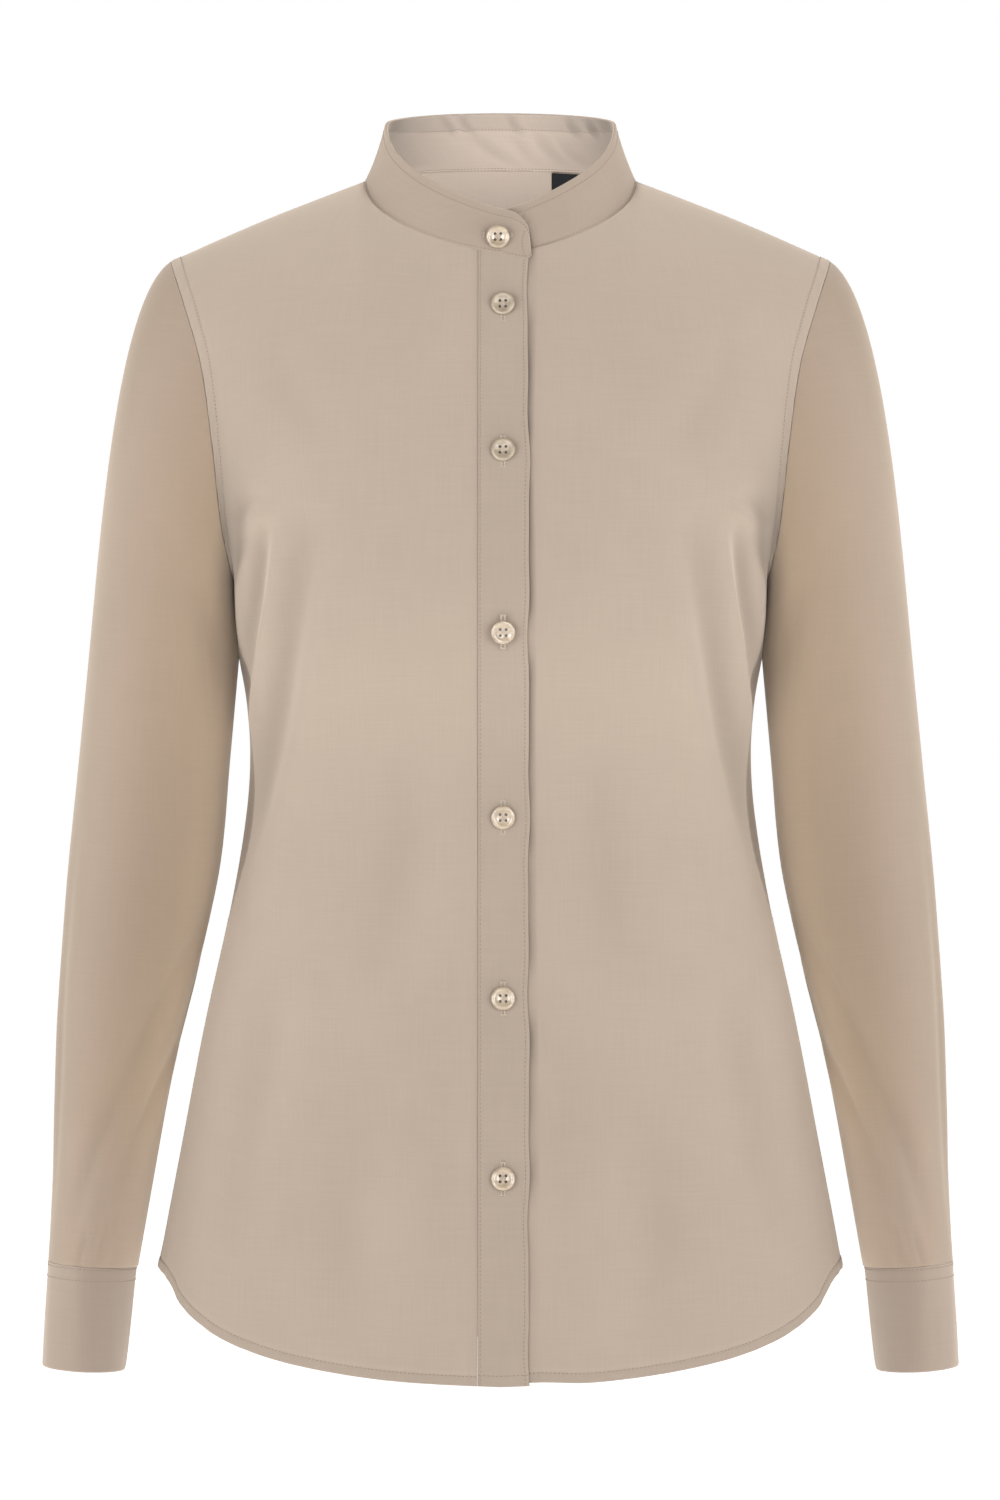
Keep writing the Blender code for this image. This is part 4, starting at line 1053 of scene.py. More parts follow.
# ------------------------ the body
@dataclass
class Body:
    """The two fronts, the placket and the back."""

    form: BodyForm
    maker: ClothMaker
    finishes: Finishes
    cloth: float = 0.0005
    faced: float = 0.0011
    seam_gap: float = 0.00008
    ridge_gap: float = 0.0002
    placket_in: float = 0.0148
    placket_out: float = 0.0121
    placket_rise: float = 0.0003
    placket_gap: float = 0.00012
    edge_shadow: float = 0.0009
    under_lift: float = -0.00045
    edge_sway: float = 0.0007
    under_stand: float = 0.012
    hem_step: float = 0.0016
    hem_depth: float = 0.0050
    hem_puff: float = 0.00035
    armhole_stitch: float = 0.0060
    stitch_groove: float = 0.00022
    groove_width: float = 0.0007
    edge_turn: float = 0.00025
    armhole_turn: float = 0.00006
    armhole_puff: float = 0.0003
    edge_reach: float = 0.0012
    hem_wave: Wave = Wave(0.00035, 1.3, 0.017, 0.002, 0.008)
    armhole_pucker: Wave = Wave(0.00022, 0.7, 0.013, 0.003, 0.006)
    lap_wave: Wave = Wave(0.0003, 2.9, 0.045, 0.018, 0.008)
    crease_fade: float = 0.010
    # a darker hem with a painted highlight above its stitches, and painted shade beside the
    # armholes
    hem_tone: float = -0.06
    hem_painted_highlight: float = 0.03
    armhole_painted_shade: float = -0.10
    armhole_tone_top: float = -0.080
    # the placket edge's painted shadow on the left front
    lap_painted_shadow: float = -0.42
    lap_painted_shadow_beside: float = -0.05
    # a darker placket, with painted shade along its outer edge
    placket_tone: float = -0.065
    placket_edge_painted_shade: float = -0.16
    # painted shade in the crease troughs of the fronts and the back, per metre deep
    front_crease_painted_shade: float = 17.0
    back_crease_painted_shade: float = 15.0
    placket_stitches: Triple = (0.0014, 0.0022, 0.0058)
    soften_rounds: int = 70
    soften_share: float = 0.5
    soften_rows: float = 0.10
    soften_reach: float = 0.03
    length_below: float = 0.40
    length_above: float = 0.23
    half_girth: float = 0.20
    stand_columns: int = 9
    placket_fine: Sizes = (0.0, 0.0004, 0.0009, 0.0014, 0.0020, 0.0027)
    placket_step: float = 0.0022
    step: float = 0.0034
    fine: Sizes = (0.0, 0.0006, 0.0013, 0.0022, 0.0034, 0.0044, 0.0050, 0.0056,
                               0.0064, 0.0078, 0.0100)

    def rows(self) -> Array:
        """List a panel's rows, close together at the hem and at the top."""
        below = spaced(self.length_below, self.fine, self.step, ends="start") - 1
        above = spaced(self.length_above, self.fine, self.step, ends="end")
        return np.concatenate([below, above[1:]])

    def panel(self, face: Face, outs: Array, lift: float, to_seam: bool = True) -> Patch:
        """Work out a panel: columns at given distances out, then those to the side seam."""
        rows = self.rows()[:, None]
        outs = np.asarray(outs, float)[None]
        grid = self.form.point(face, self.form.across_at(face, outs, rows),
                               self.form.dipped(rows, outs))
        if to_seam:
            start = self.form.across_at(face, outs[:, -1:], rows)
            shares = spaced(self.half_girth, self.fine, self.step, ends="end")[None, 1:]
            rest = self.form.point(face, start + (1 - start) * shares, rows)
            grid = np.concatenate([grid, rest], axis=1)
        patch = Patch(self.softened(grid, rows, to_seam))
        return patch.push(lift * self.form.lap_share(grid[:, :, 0]))

    def softened(self, grid: Array, rows: Array, to_seam: bool) -> Array:
        """Smooth a panel along its columns where it turns up at the underarm."""
        away = np.linalg.norm(grid - grid[:, -1:], axis=2) if to_seam else np.ones(grid.shape[:2])
        weight = self.soften_share * bell(rows, self.soften_rows) * ease(away / self.soften_reach)
        weight = weight[..., None]
        for _ in range(self.soften_rounds):
            bend = grid[:-2] + grid[2:] - 2 * grid[1:-1]
            grid[1:-1] += weight[1:-1] * bend
        return grid

    def sewn_edges(self, patch: Patch, hem: bool = True) -> Array:
        """Give the push of a panel's turned hem, last edge and armhole stitching."""
        push = np.zeros(patch.points.shape[:2])
        if hem:
            foot = patch.from_foot
            push += self.hem_puff * (1 - ease((foot - self.hem_depth + 0.0007) / 0.0012))
            push += drawn_in(foot, self.hem_depth, self.stitch_groove, self.groove_width)
            push += waved(self.hem_wave, patch.from_first, foot)
        side = patch.from_last
        upper = ease((patch.points[:, -1:, 2] - self.form.underarm + 0.004) / 0.006)
        depth = self.edge_turn + (self.armhole_turn - self.edge_turn) * upper
        push += turned_edge(side, depth, self.edge_reach)
        push += upper * drawn_in(side, self.armhole_stitch, self.stitch_groove, self.groove_width)
        puff = ease(side / 0.0015) * (1 - ease((side - self.armhole_stitch + 0.0008) / 0.001))
        push += upper * self.armhole_puff * puff
        return push + upper * waved(self.armhole_pucker, patch.from_foot, side)

    def tone_and_painted_shade(self, patch: Patch, right: bool) -> Array:
        """Give a front's tones: a darker hem, and painted light, shade and shadow near its edges
        and in its creases.
        """
        foot, edge, height = patch.from_foot, patch.from_last, patch.points[..., 2]
        tone = self.hem_tone * (1 - ease((foot - self.hem_depth + 0.0004) / 0.0008))
        # painted highlight just above the hem stitches
        tone += self.hem_painted_highlight * bell(foot - self.hem_depth - 0.0018, 0.0012)
        # painted shade beside the armhole, painted shadow under the arm and painted shade in the
        # creases
        upper = ease((height[:, -1:] - self.form.underarm) / 0.03)
        lower = ease((self.armhole_tone_top - height) / 0.06)
        tone += self.armhole_painted_shade * upper * lower * bell(edge, 0.008)
        tone += shaded(FRONT_PAINTED_SHADES, height, edge)
        tone += crease_shade(FRONT_CREASES, patch.points[..., 0], height, self.front_crease_painted_shade)
        # the placket edge's painted shadow on the left front
        if not right:
            beside = patch.points[..., 0] - self.placket_in + self.sway(height)
            tone += self.lap_painted_shadow * bell(beside - 0.0006, self.edge_shadow)
            tone += self.lap_painted_shadow_beside * bell(beside, 0.004)
        return tone

    def front(self, side: Side) -> None:
        """Make a front: the right one ends beside the placket, the left one runs under it."""
        right = side is Side.RIGHT
        name = "front_right" if right else "front_left"
        edge = self.placket_out + self.placket_gap
        outs = [edge] if right else np.linspace(-self.under_stand, edge, self.stand_columns)
        patch = self.panel(Face.FRONT, outs, self.form.lap_lift if right else self.under_lift)
        if not right:
            fade = self.form.lap_share(patch.points[:1, :, 0]) * self.hem_step
            patch.points[:, :, 2] += fade * bell(patch.from_foot, 0.02)
        patch.trim("last", self.seam_gap).trim("top", self.ridge_gap)
        push = crease_shape(FRONT_CREASES, patch.points[:, :, 0], patch.points[:, :, 2])
        push *= ease(patch.from_last / self.crease_fade)
        push += self.sewn_edges(patch)
        if not right:
            push += waved(self.lap_wave, patch.from_foot, patch.points[:, :, 0])
        patch.push(push)
        patch.measure()
        piece = self.maker.shell(name + "_cloth", patch, patch.fabric(0, self.level_row()),
                                 self.cloth, self.finishes.cotton, side,
                                 tone=self.tone_and_painted_shade(patch, right))
        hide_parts(name)
        self.sew_panel(patch, name, side)

    def level_row(self) -> int:
        """Give the row at the underarm."""
        return int(np.argmin(np.abs(self.rows())))

    def sew_panel(self, patch: Patch, name: str, side: Side, both: bool = False) -> None:
        """Stitch a panel's hem and armholes."""
        sewing = Sewing()
        sewing.row(patch.line(patch.from_foot, self.hem_depth), side)
        start = self.level_row() / (len(self.rows()) - 1)
        sewing.row(patch.line(patch.from_last, self.armhole_stitch), side, start=start)
        if both:
            sewing.row(patch.line(patch.from_first, self.armhole_stitch), side, start=start)
        sewing.make(name + "_stitches", self.maker, self.finishes.thread)

    def back(self) -> None:
        """Make the back, whose right half mirrors its left."""
        half = self.panel(Face.BACK, [0.0], 0.0).points
        half[:, 0, 0] = 0.0
        patch = Patch(np.concatenate((half[:, :0:-1] * (-1, 1, 1), half), axis=1))
        patch.trim("last", self.seam_gap).trim("first", self.seam_gap).trim("top", self.ridge_gap)
        side = patch.points[:, :, 0]
        push = crease_shape(BACK_CREASES, np.abs(side), patch.points[:, :, 2])
        push *= np.where(side < 0, 1.0, 0.85 + 0.15 * np.cos(patch.points[:, :, 2] * 31))
        push *= ease(patch.from_last / self.crease_fade) * ease(patch.from_first / self.crease_fade)
        half_columns = half.shape[1] - 1
        edges = self.sewn_edges(patch)
        mirrored = self.sewn_edges(Patch(patch.points[:, ::-1]), hem=False)[:, ::-1]
        push += edges + mirrored
        # painted shade in the back's crease troughs, painted light on their ridges
        tone = crease_shade(BACK_CREASES, np.abs(side), patch.points[:, :, 2],
                            self.back_crease_painted_shade)
        patch.push(push)
        patch.measure()
        piece = self.maker.shell("back_cloth", patch, patch.fabric(half_columns, self.level_row()),
                                 self.cloth, self.finishes.cotton, inner=self.finishes.inner,
                                 tone=tone)
        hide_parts("back")
        self.sew_panel(patch, "back", Side.LEFT, both=True)

    def sway(self, height: Array) -> Array:
        """Give how far the placket's free edge sways to the wearer's right."""
        return self.edge_sway * ripple(height, 2.2, 0.062)

    def placket(self) -> None:
        """Make the front placket, a separate strip with a row of stitches along each edge."""
        width = self.placket_in + self.placket_out
        shares = spaced(width, self.placket_fine, self.placket_step)
        outs = -self.placket_in + width * shares
        patch = self.panel(Face.FRONT, outs, self.form.lap_lift, to_seam=False)
        patch.push(np.full(patch.points.shape[:2], self.placket_rise))
        sway = self.sway(patch.points[..., 2]) * bell(patch.from_first, 0.006)
        patch.points[..., 0] += sway
        patch.trim("top", self.seam_gap)
        near_out, near_in = patch.from_last, patch.from_first
        out_row, in_row, foot_row = self.placket_stitches
        push = turned_edge(near_out, 0.00012, 0.0005) + turned_edge(near_in, 0.00022, 0.0008)
        push += drawn_in(near_out, out_row, 0.00010, 0.0004)
        push += drawn_in(near_in, in_row, 0.00010, 0.0004)
        push += drawn_in(patch.from_foot, foot_row, 0.00015, 0.0006)
        push += uneven(patch.from_foot, near_out, height=0.00018, seed=4.1, pitch=0.031)
        patch.push(push)
        patch.measure()
        # the placket gets painted shade along its outer edge
        piece = self.maker.shell("front_placket_cloth", patch, patch.fabric(0, self.level_row()),
                                 self.faced, self.finishes.cotton, Side.RIGHT,
                                 tone=self.placket_tone
                                 + self.placket_edge_painted_shade * bell(near_out, 0.0005))
        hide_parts("front_placket")
        sewing = Sewing()
        sewing.row(patch.line(patch.from_last, out_row), Side.RIGHT)
        sewing.row(patch.line(patch.from_first, in_row), Side.RIGHT)
        sewing.row(patch.line(patch.from_foot, foot_row), Side.RIGHT)
        sewing.make("front_placket_stitches", self.maker, self.finishes.thread)

    def build(self) -> None:
        """Make all the body's pieces."""
        self.front(Side.RIGHT)
        self.front(Side.LEFT)
        self.back()
        self.placket()


# ------------------------ sleeves and cuffs
@dataclass
class Sleeves:
    """The two sleeves and their buttoned cuffs."""

    form: BodyForm
    maker: ClothMaker
    finishes: Finishes
    cloth: float = 0.0005
    faced: float = 0.0012
    seam_gap: float = 0.0001
    tube_start: float = -0.262
    cuff_top: float = -0.5912
    cuff_bottom: float = -0.6473
    cuff_rise: float = 0.0015
    cuff_split: float = math.radians(212)
    cuff_overlap: float = math.radians(34)
    cuff_lift: float = 0.00098
    cuff_fade: float = 1.1
    head_under: Triple = (0.002, 0.0, -0.040)
    head_top: Triple = (0.090, 0.0, -0.060)
    head_side: Triple = (0.020, 0.0, -0.020)
    head_front: float = 0.012
    head_drops: Pair = (0.043, 0.190)
    turns: int = 84
    tube_rows: int = 104
    head_rows: int = 58
    tube_length: float = 0.33
    head_length: float = 0.2
    tube_fine: Sizes = (0.0, 0.0006, 0.0013, 0.0022, 0.0034)
    head_fine: Sizes = (0.0, 0.0006, 0.0013, 0.0024)
    crease_radius: float = 0.040
    # painted shade in the crease troughs, per metre deep
    crease_painted_shade: float = 20.0
    seam_depth: float = 0.0005
    seam_width: float = 0.0010
    head_pucker: Wave = Wave(0.00025, 0.4, 0.012, 0.004, 0.006)
    # painted light inside and at the head, painted shade outside and under the arm
    inner_tone: float = 0.17
    outer_painted_shade: float = -0.10
    head_painted_light: float = 0.12
    underarm_painted_shadow: float = -0.26
    cuff_tone: float = -0.03
    # painted shade on the cuff's inner front half
    cuff_inner_tone: float = -0.11
    cuff_length: float = 0.235
    cuff_height: float = 0.056
    cuff_step: float = 0.0028
    cuff_row_step: float = 0.0026
    cuff_fine: Sizes = (0.0, 0.0005, 0.0012, 0.0020, 0.0032)
    cuff_row_fine: Sizes = (0.0, 0.0005, 0.0011, 0.0018, 0.0028)
    cuff_stitches: Pair = (0.0014, 0.0075)
    cuff_ridge: float = 0.0009
    cuff_draw: float = 0.0010
    cuff_ridge_out: float = 0.2265

    def cuff_edge(self, height: float, turn: Array) -> Array:
        """Tilt a cuff's edge: its front and its outer side lie a little higher."""
        return height + self.cuff_rise * (np.sin(turn) + np.cos(turn))

    def head(self, turn: Array, share: Array) -> Array:
        """Give points between the armhole and the plain tube."""
        turn, share = np.broadcast_arrays(turn, share)
        turn = np.mod(turn, 2 * math.pi)
        upper = ((1 + np.cos(turn)) / 2)[..., None]
        half = turn / math.pi
        start = np.where((half <= 1)[..., None],
                         self.form.armhole(Face.FRONT, np.clip(1 - half, 0, 1)),
                         self.form.armhole(Face.BACK, np.clip(half - 1, 0, 1)))
        start = start + np.array((1, 0, 0)) * self.seam_gap * (1.0 + 0.6 * upper)
        under, top = np.array(self.head_under), np.array(self.head_top)
        leave = under + (top - under) * upper
        leave = leave + np.array(self.head_side) * (np.sin(turn) ** 2)[..., None]
        leave = leave - np.array((0, self.head_front, 0)) * np.sin(turn)[..., None]
        step = self.form.slope_step
        end = tube(SLEEVE_LEVELS, turn, np.full_like(turn, self.tube_start))
        below = tube(SLEEVE_LEVELS, turn, np.full_like(turn, self.tube_start - step))
        drop = self.head_drops[0] + (self.head_drops[1] - self.head_drops[0]) * upper
        return hermite(start, leave, end, (below - end) / step * drop, share[..., None])

    def sleeve_patch(self) -> tuple[Patch, Array]:
        """Work out a sleeve from the cuff up, its columns starting at the underarm."""
        turn = np.linspace(math.pi, 3 * math.pi, self.turns + 1)[None]
        low = self.cuff_edge(self.cuff_top, turn) + self.seam_gap
        shares = spaced(self.tube_length, self.tube_fine, self.tube_length / self.tube_rows,
                        ends="start")[:-1, None]
        body = tube(SLEEVE_LEVELS, turn + 0 * shares, low + (self.tube_start - low) * shares)
        from_tube = 1 - spaced(self.head_length, self.head_fine,
                               self.head_length / self.head_rows, ends="end")
        head = self.head(turn, from_tube[:, None])
        points = np.concatenate([body, head], axis=0)
        centre = (float(points[..., 0].mean()), float(points[..., 1].mean()))
        patch = Patch(points, centre)
        return patch, turn + np.zeros(points.shape[:2])

    def scaled_creases(self) -> tuple[Crease, ...]:
        """Turn the angles of the creases' paths into distances round the sleeve."""
        return tuple(crease._replace(path=tuple((math.radians(angle) * self.crease_radius, high)
                                                for angle, high in crease.path))
                     for crease in SLEEVE_CREASES)

    def creases(self, turn: Array, height: Array) -> Array:
        """Give the push of the sleeve's creases, also of those that cross its seam."""
        scaled, around = self.scaled_creases(), np.mod(turn, 2 * math.pi)
        return sum(crease_shape(scaled, (around + whole) * self.crease_radius, height)
                   for whole in (0.0, -2 * math.pi, 2 * math.pi))

    def sleeve(self, side: Side) -> None:
        """Make one sleeve."""
        name = "sleeve_" + side.name.lower()
        patch, turn = self.sleeve_patch()
        push = self.creases(turn, patch.points[..., 2])
        push *= (1 - bell(patch.from_top, 0.006)) * ease(patch.from_foot / 0.004)
        push += turned_edge(patch.from_top, 0.00006, 0.0016)
        push += turned_edge(patch.from_foot, 0.00010, 0.0014)
        seam = np.minimum(patch.from_first, patch.from_last)
        push += drawn_in(seam, 0.0, self.seam_depth, self.seam_width)
        push += waved(self.head_pucker, patch.from_first, patch.from_top)
        push[:, -1] = push[:, 0]
        points = patch.points + self.closed_normals(patch) * push[..., None]
        points[:, -1] = points[:, 0]
        patch.points = points
        patch.measure()
        middle = self.turns // 2
        level = len(points) - self.head_rows
        tone, painted_bounce_warmth = self.tone_and_painted_shade(turn, patch)
        piece = self.maker.shell(name + "_cloth", patch, patch.fabric(middle, level), self.cloth,
                                 self.finishes.sleeve, side, closed=True, tone=tone,
                                 painted_bounce_warmth=painted_bounce_warmth)
        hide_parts(name)

    def tone_and_painted_shade(self, turn: Array, patch: Patch) -> tuple[Array, Array]:
        """Give a sleeve's tones: painted light and painted warm bounce inside, painted shade
        outside, under the arm and in the creases.
        """
        height = patch.points[..., 2]
        inside = (1 - np.cos(turn)) / 2
        tone = self.inner_tone * between(inside, 0.74, 1.0)
        tone += self.outer_painted_shade * between(inside, 0.22, 0.02)
        tone *= 1 - 0.8 * bell(height + 0.190, 0.045)
        tone += self.head_painted_light * between(height, -0.170, -0.110) * between(inside, 0.45, 0.85)
        tone += self.underarm_painted_shadow * bell(height + 0.225, 0.045) * between(inside, 0.80, 0.98)
        tone += shaded(SLEEVE_PAINTED_SHADES, height, inside)
        # painted shade in the crease troughs, painted light on their ridges
        around = np.mod(turn, 2 * math.pi) * self.crease_radius
        tone += crease_shade(self.scaled_creases(), around, height, self.crease_painted_shade)
        # painted warm bounce light on the inner side, fading toward the cuff
        painted_bounce_warmth = between(inside, 0.15, 0.90) * (1 - 0.80 * between(height, -0.495, -0.555))
        return tone, painted_bounce_warmth

    @staticmethod
    def closed_normals(patch: Patch) -> Array:
        """Give a closed tube's normals, the same on both sides of its seam."""
        normals = patch.normals()
        seam = normals[:, 0] + normals[:, -1]
        seam /= np.linalg.norm(seam, axis=1, keepdims=True)
        normals[:, 0] = seam
        normals[:, -1] = seam
        return normals

    def cuff_patch(self) -> Patch:
        """Work out a cuff from its foot up, round past its own start."""
        share = spaced(self.cuff_length, self.cuff_fine, self.cuff_step)[None]
        rise = spaced(self.cuff_height, self.cuff_row_fine, self.cuff_row_step)[:, None]
        whole = 2 * math.pi + self.cuff_overlap
        turn = self.cuff_split + share * whole
        foot, top = self.cuff_edge(self.cuff_bottom, turn), self.cuff_edge(self.cuff_top, turn)
        points = tube(CUFF_LEVELS, turn + 0 * rise, foot + (top - foot) * rise)
        lap = self.cuff_overlap / whole
        flat, fade = 2 * self.cuff_fade * lap, self.cuff_fade * lap
        lift = self.cuff_lift * (ease((share - 1 + flat) / fade) - ease((flat - share) / fade))
        outward = stack(np.cos(turn), -np.sin(turn), 0.0)
        points = points + outward * lift[..., None]
        centre = (float(points[..., 0].mean()), float(points[..., 1].mean()))
        return Patch(points, centre)

    def cuff(self, side: Side) -> None:
        """Make one cuff with its stitching."""
        name = "cuff_" + side.name.lower()
        patch = self.cuff_patch()
        edges = np.minimum(np.minimum(patch.from_first, patch.from_last),
                           np.minimum(patch.from_foot, patch.from_top))
        push = turned_edge(edges, 0.00035, 0.0011) - turned_edge(patch.from_top, 0.00025, 0.0011)
        near, far = self.cuff_stitches
        push += drawn_in(patch.from_top, near, 0.00018, 0.0006)
        push += drawn_in(patch.from_top, far, 0.00018, 0.0006)
        push += uneven(patch.from_first, edges, height=0.00025, seed=3.3, pitch=0.027)
        push -= self.cuff_draw * (1 - 0.6 * ease(patch.from_top / 0.045))
        ridge = bell(patch.points[..., 0] - self.cuff_ridge_out, 0.006)
        push += self.cuff_ridge * ridge * (patch.points[..., 1] < patch.centre[1])
        patch.push(push)
        patch.measure()
        # painted shade on the cuff's inner front half, which faces the body
        inner = ease((self.cuff_ridge_out + 0.004 - patch.points[..., 0]) / 0.014)
        in_front = patch.points[..., 1] < patch.centre[1] + 0.01
        tone = self.cuff_tone + self.cuff_inner_tone * inner * in_front
        piece = self.maker.shell(name + "_cloth", patch, patch.fabric(), self.faced,
                                 self.finishes.cuff, side, tone=tone)
        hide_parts(name)
        sewing = Sewing()
        sewing.row(patch.line(patch.from_top, near), side)
        sewing.row(patch.line(patch.from_top, far), side)
        sewing.row(patch.line(patch.from_last, near), side)
        sewing.make(name + "_stitches", self.maker, self.finishes.thread)

    def build(self) -> None:
        """Make both sleeves and both cuffs."""
        for side in Side:
            self.sleeve(side)
            self.cuff(side)


# ------------------------ collar and label
@dataclass
class Collar:
    """The stand-up collar band, its right end over its left, and the neck label."""

    form: BodyForm
    maker: ClothMaker
    finishes: Finishes
    faced: float = 0.0012
    seam_gap: float = 0.00006
    top_half_width: float = 0.0630
    top_front: Pair = (-0.052, -0.0190)
    top_back: Pair = (0.044, 0.044)
    top_side_height: float = 0.0335
    straight: float = 0.4
    climb: float = 1.5
    bulge: float = 0.0008
    side_draw: float = 0.0016
    tuck: float = 0.0004
    corner: float = 0.011
    over_end: float = 0.0166
    under_end: float = 0.0135
    lift: float = 0.0012
    columns: int = 190
    edge_stitch: float = 0.0050
    back_drop: float = 0.0042
    seam_stitch: float = 0.0015
    label_out: Pair = (0.029, 0.047)
    label_rise: Pair = (0.946, 0.9995)
    low_corner: float = 0.0035
    height: float = 0.032
    row_step: float = 0.0016
    fine: Sizes = (0.0, 0.0005, 0.0012, 0.0020, 0.0029, 0.0038)
    row_fine: Sizes = (0.0, 0.0004, 0.0009, 0.0015, 0.0022)
    # painted shade inside above the upper stitches, in the corners and at the sides, painted light
    # at the middle of the back
    strip_painted_shade: float = -0.11
    corner_painted_shade: float = -0.30
    side_painted_shade: float = -0.26
    middle_painted_light: float = 0.06
    # painted shade in the crease troughs, per metre deep, and the share of it that is painted
    # outside
    crease_painted_shade: float = 115.0
    outer_crease_share: float = 0.3
    shadow: float = -0.30
    wide_shadow: float = -0.08
    over_columns: int = 24
    under_columns: int = 60
    stitch_pitch: float = 0.0019
    stitch_length: float = 0.0012
    label_thickness: float = 0.0006
    label_inside: float = -0.0018

    def foot(self, angle: Array, side: Array) -> Array:
        """Give points of the lower edge; angle is 0 at the middle front and pi behind."""
        out = self.form.neck_half_width * np.sin(np.minimum(angle, 0.0))
        rise = self.form.dipped(np.ones_like(out), out)
        past = self.form.point(Face.FRONT, self.form.across_at(Face.FRONT, out, rise), rise)
        share = np.minimum(angle, math.pi - angle) / (math.pi / 2) * self.form.neck_share
        share = np.maximum(share, 0.0)
        ring = np.where((angle < math.pi / 2)[..., None], self.form.top_edge(Face.FRONT, share),
                        self.form.top_edge(Face.BACK, share))
        ring = ring * (1 - self.seam_gap / self.form.neck_half_width, 1, 1)
        point = np.where((angle < 0)[..., None], past, ring)
        return (point + (0, 0, self.seam_gap)) * stack(side, 1.0, 1.0)

    def top(self, angle: Array, side: Array) -> Array:
        """Give points of the upper edge."""
        quarter = angle / (math.pi / 2)
        curved = np.maximum(quarter, 0.0) ** self.climb
        share = self.straight * quarter + (1 - self.straight) * curved
        low, high = self.top_front[1], self.top_side_height
        front = stack(0.0, self.top_front[0] * np.cos(angle), low + (high - low) * share)
        behind = stack(0.0, -self.top_back[0] * np.cos(angle),
                       high - (self.top_back[1] - high) * np.cos(angle))
        point = np.where((quarter <= 1)[..., None], front, behind)
        point[..., 0] = self.top_half_width * np.sin(angle) * side
        return point

    def patch(self) -> Patch:
        """Work out the band from its left, under end round to its right, over end."""
        start = -math.asin(self.under_end / self.form.neck_half_width)
        stop = 2 * math.pi + math.asin(self.over_end / self.form.neck_half_width)
        length = self.form.neck_half_width * (stop - start)
        turn = start + (stop - start) * spaced(length, self.fine, length / self.columns)[None]
        rise = spaced(self.height, self.row_fine, self.row_step)[:, None]
        turn, rise = np.broadcast_arrays(turn, rise)
        over = turn > math.pi
        angle = np.where(over, 2 * math.pi - turn, turn)
        side = np.where(over, -1.0, 1.0)
        foot, top = self.foot(angle, side), self.top(angle, side)
        slant = top - foot
        height = np.linalg.norm(slant, axis=-1)
        near_front = np.abs(angle) < 1
        reach = self.form.neck_half_width * np.sin(angle)
        from_middle = np.where(near_front, reach, 1.0)
        end = np.where(over, self.over_end, self.under_end)
        inset = np.clip(self.corner - np.maximum(from_middle + end, 0.0), 0.0, self.corner)
        left = 1 - (self.corner - np.sqrt(self.corner ** 2 - inset ** 2)) / height
        low = np.clip(self.low_corner - np.maximum(from_middle + end, 0.0), 0.0, self.low_corner)
        lifted = (self.low_corner - np.sqrt(self.low_corner ** 2 - low ** 2)) / height
        rise = lifted + rise * (left - lifted)
        outward = stack(np.sin(turn), -np.cos(turn), 0.0)
        along = slant / height[..., None]
        outward = outward - along * np.sum(outward * along, axis=-1, keepdims=True)
        outward /= np.linalg.norm(outward, axis=-1, keepdims=True)
        lift = np.where(over, self.lift, -self.lift) * self.form.lap_share(from_middle)
        curve = self.bulge - self.side_draw * np.sin(turn) ** 4
        push = lift + curve * np.sin(math.pi * rise)
        foot = foot - along * self.tuck
        return Patch(foot + slant * rise[..., None] + outward * push[..., None])

    def band(self) -> None:
        """Make the collar band with its stitching, inside and out."""
        patch = self.patch()
        edges = np.minimum(np.minimum(patch.from_first, patch.from_last),
                           np.minimum(patch.from_foot * 3.0, patch.from_top))
        push = turned_edge(edges, 0.00035, 0.0010)
        behind = np.maximum(patch.points[-1, :, 1] / self.top_back[0], 0.0)
        edge_row = self.edge_stitch + self.back_drop * ease(behind * 1.2)
        for away, distance in ((patch.from_top, edge_row[None]),
                               (patch.from_foot, self.seam_stitch),
                               (patch.from_last, self.edge_stitch)):
            push = push + drawn_in(away, distance, 0.00022, 0.0006)
        push = push + crease_shape(BAND_CREASES, patch.from_first, patch.from_foot)
        push = push + uneven(patch.from_first, edges, height=0.0002, seed=1.9, pitch=0.037)
        # painted light and shade: inside, the inner tones and the creases; outside, a share of the
        # creases and the over end's painted shadow
        tone = self.inner_tones(patch, edge_row, behind)
        creased = crease_shade(BAND_CREASES, patch.from_first, patch.from_foot, self.crease_painted_shade)
        patch.push(push)
        piece = self.maker.shell("collar_band_cloth", patch, patch.fabric(), self.faced,
                                 self.finishes.collar, inner=self.finishes.inner,
                                 tone=creased * self.outer_crease_share + self.end_shadow(patch),
                                 inner_tone=tone + creased)
        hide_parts("collar_band")
        sewing = Sewing(pitch=self.stitch_pitch, length=self.stitch_length)
        for inside in (0.0, self.faced):
            facing = 1 if inside == 0 else -1
            for away, distance in ((patch.from_top, edge_row),
                                   (patch.from_foot, self.seam_stitch)):
                points, normals = patch.line(away, distance, inside)
                sewing.row((points, normals * facing))
        points, normals = patch.line(patch.from_last, self.edge_stitch)
        sewing.row((points, normals), start=0.1, stop=0.62)
        sewing.make("collar_band_stitches", self.maker, self.finishes.dark_thread)

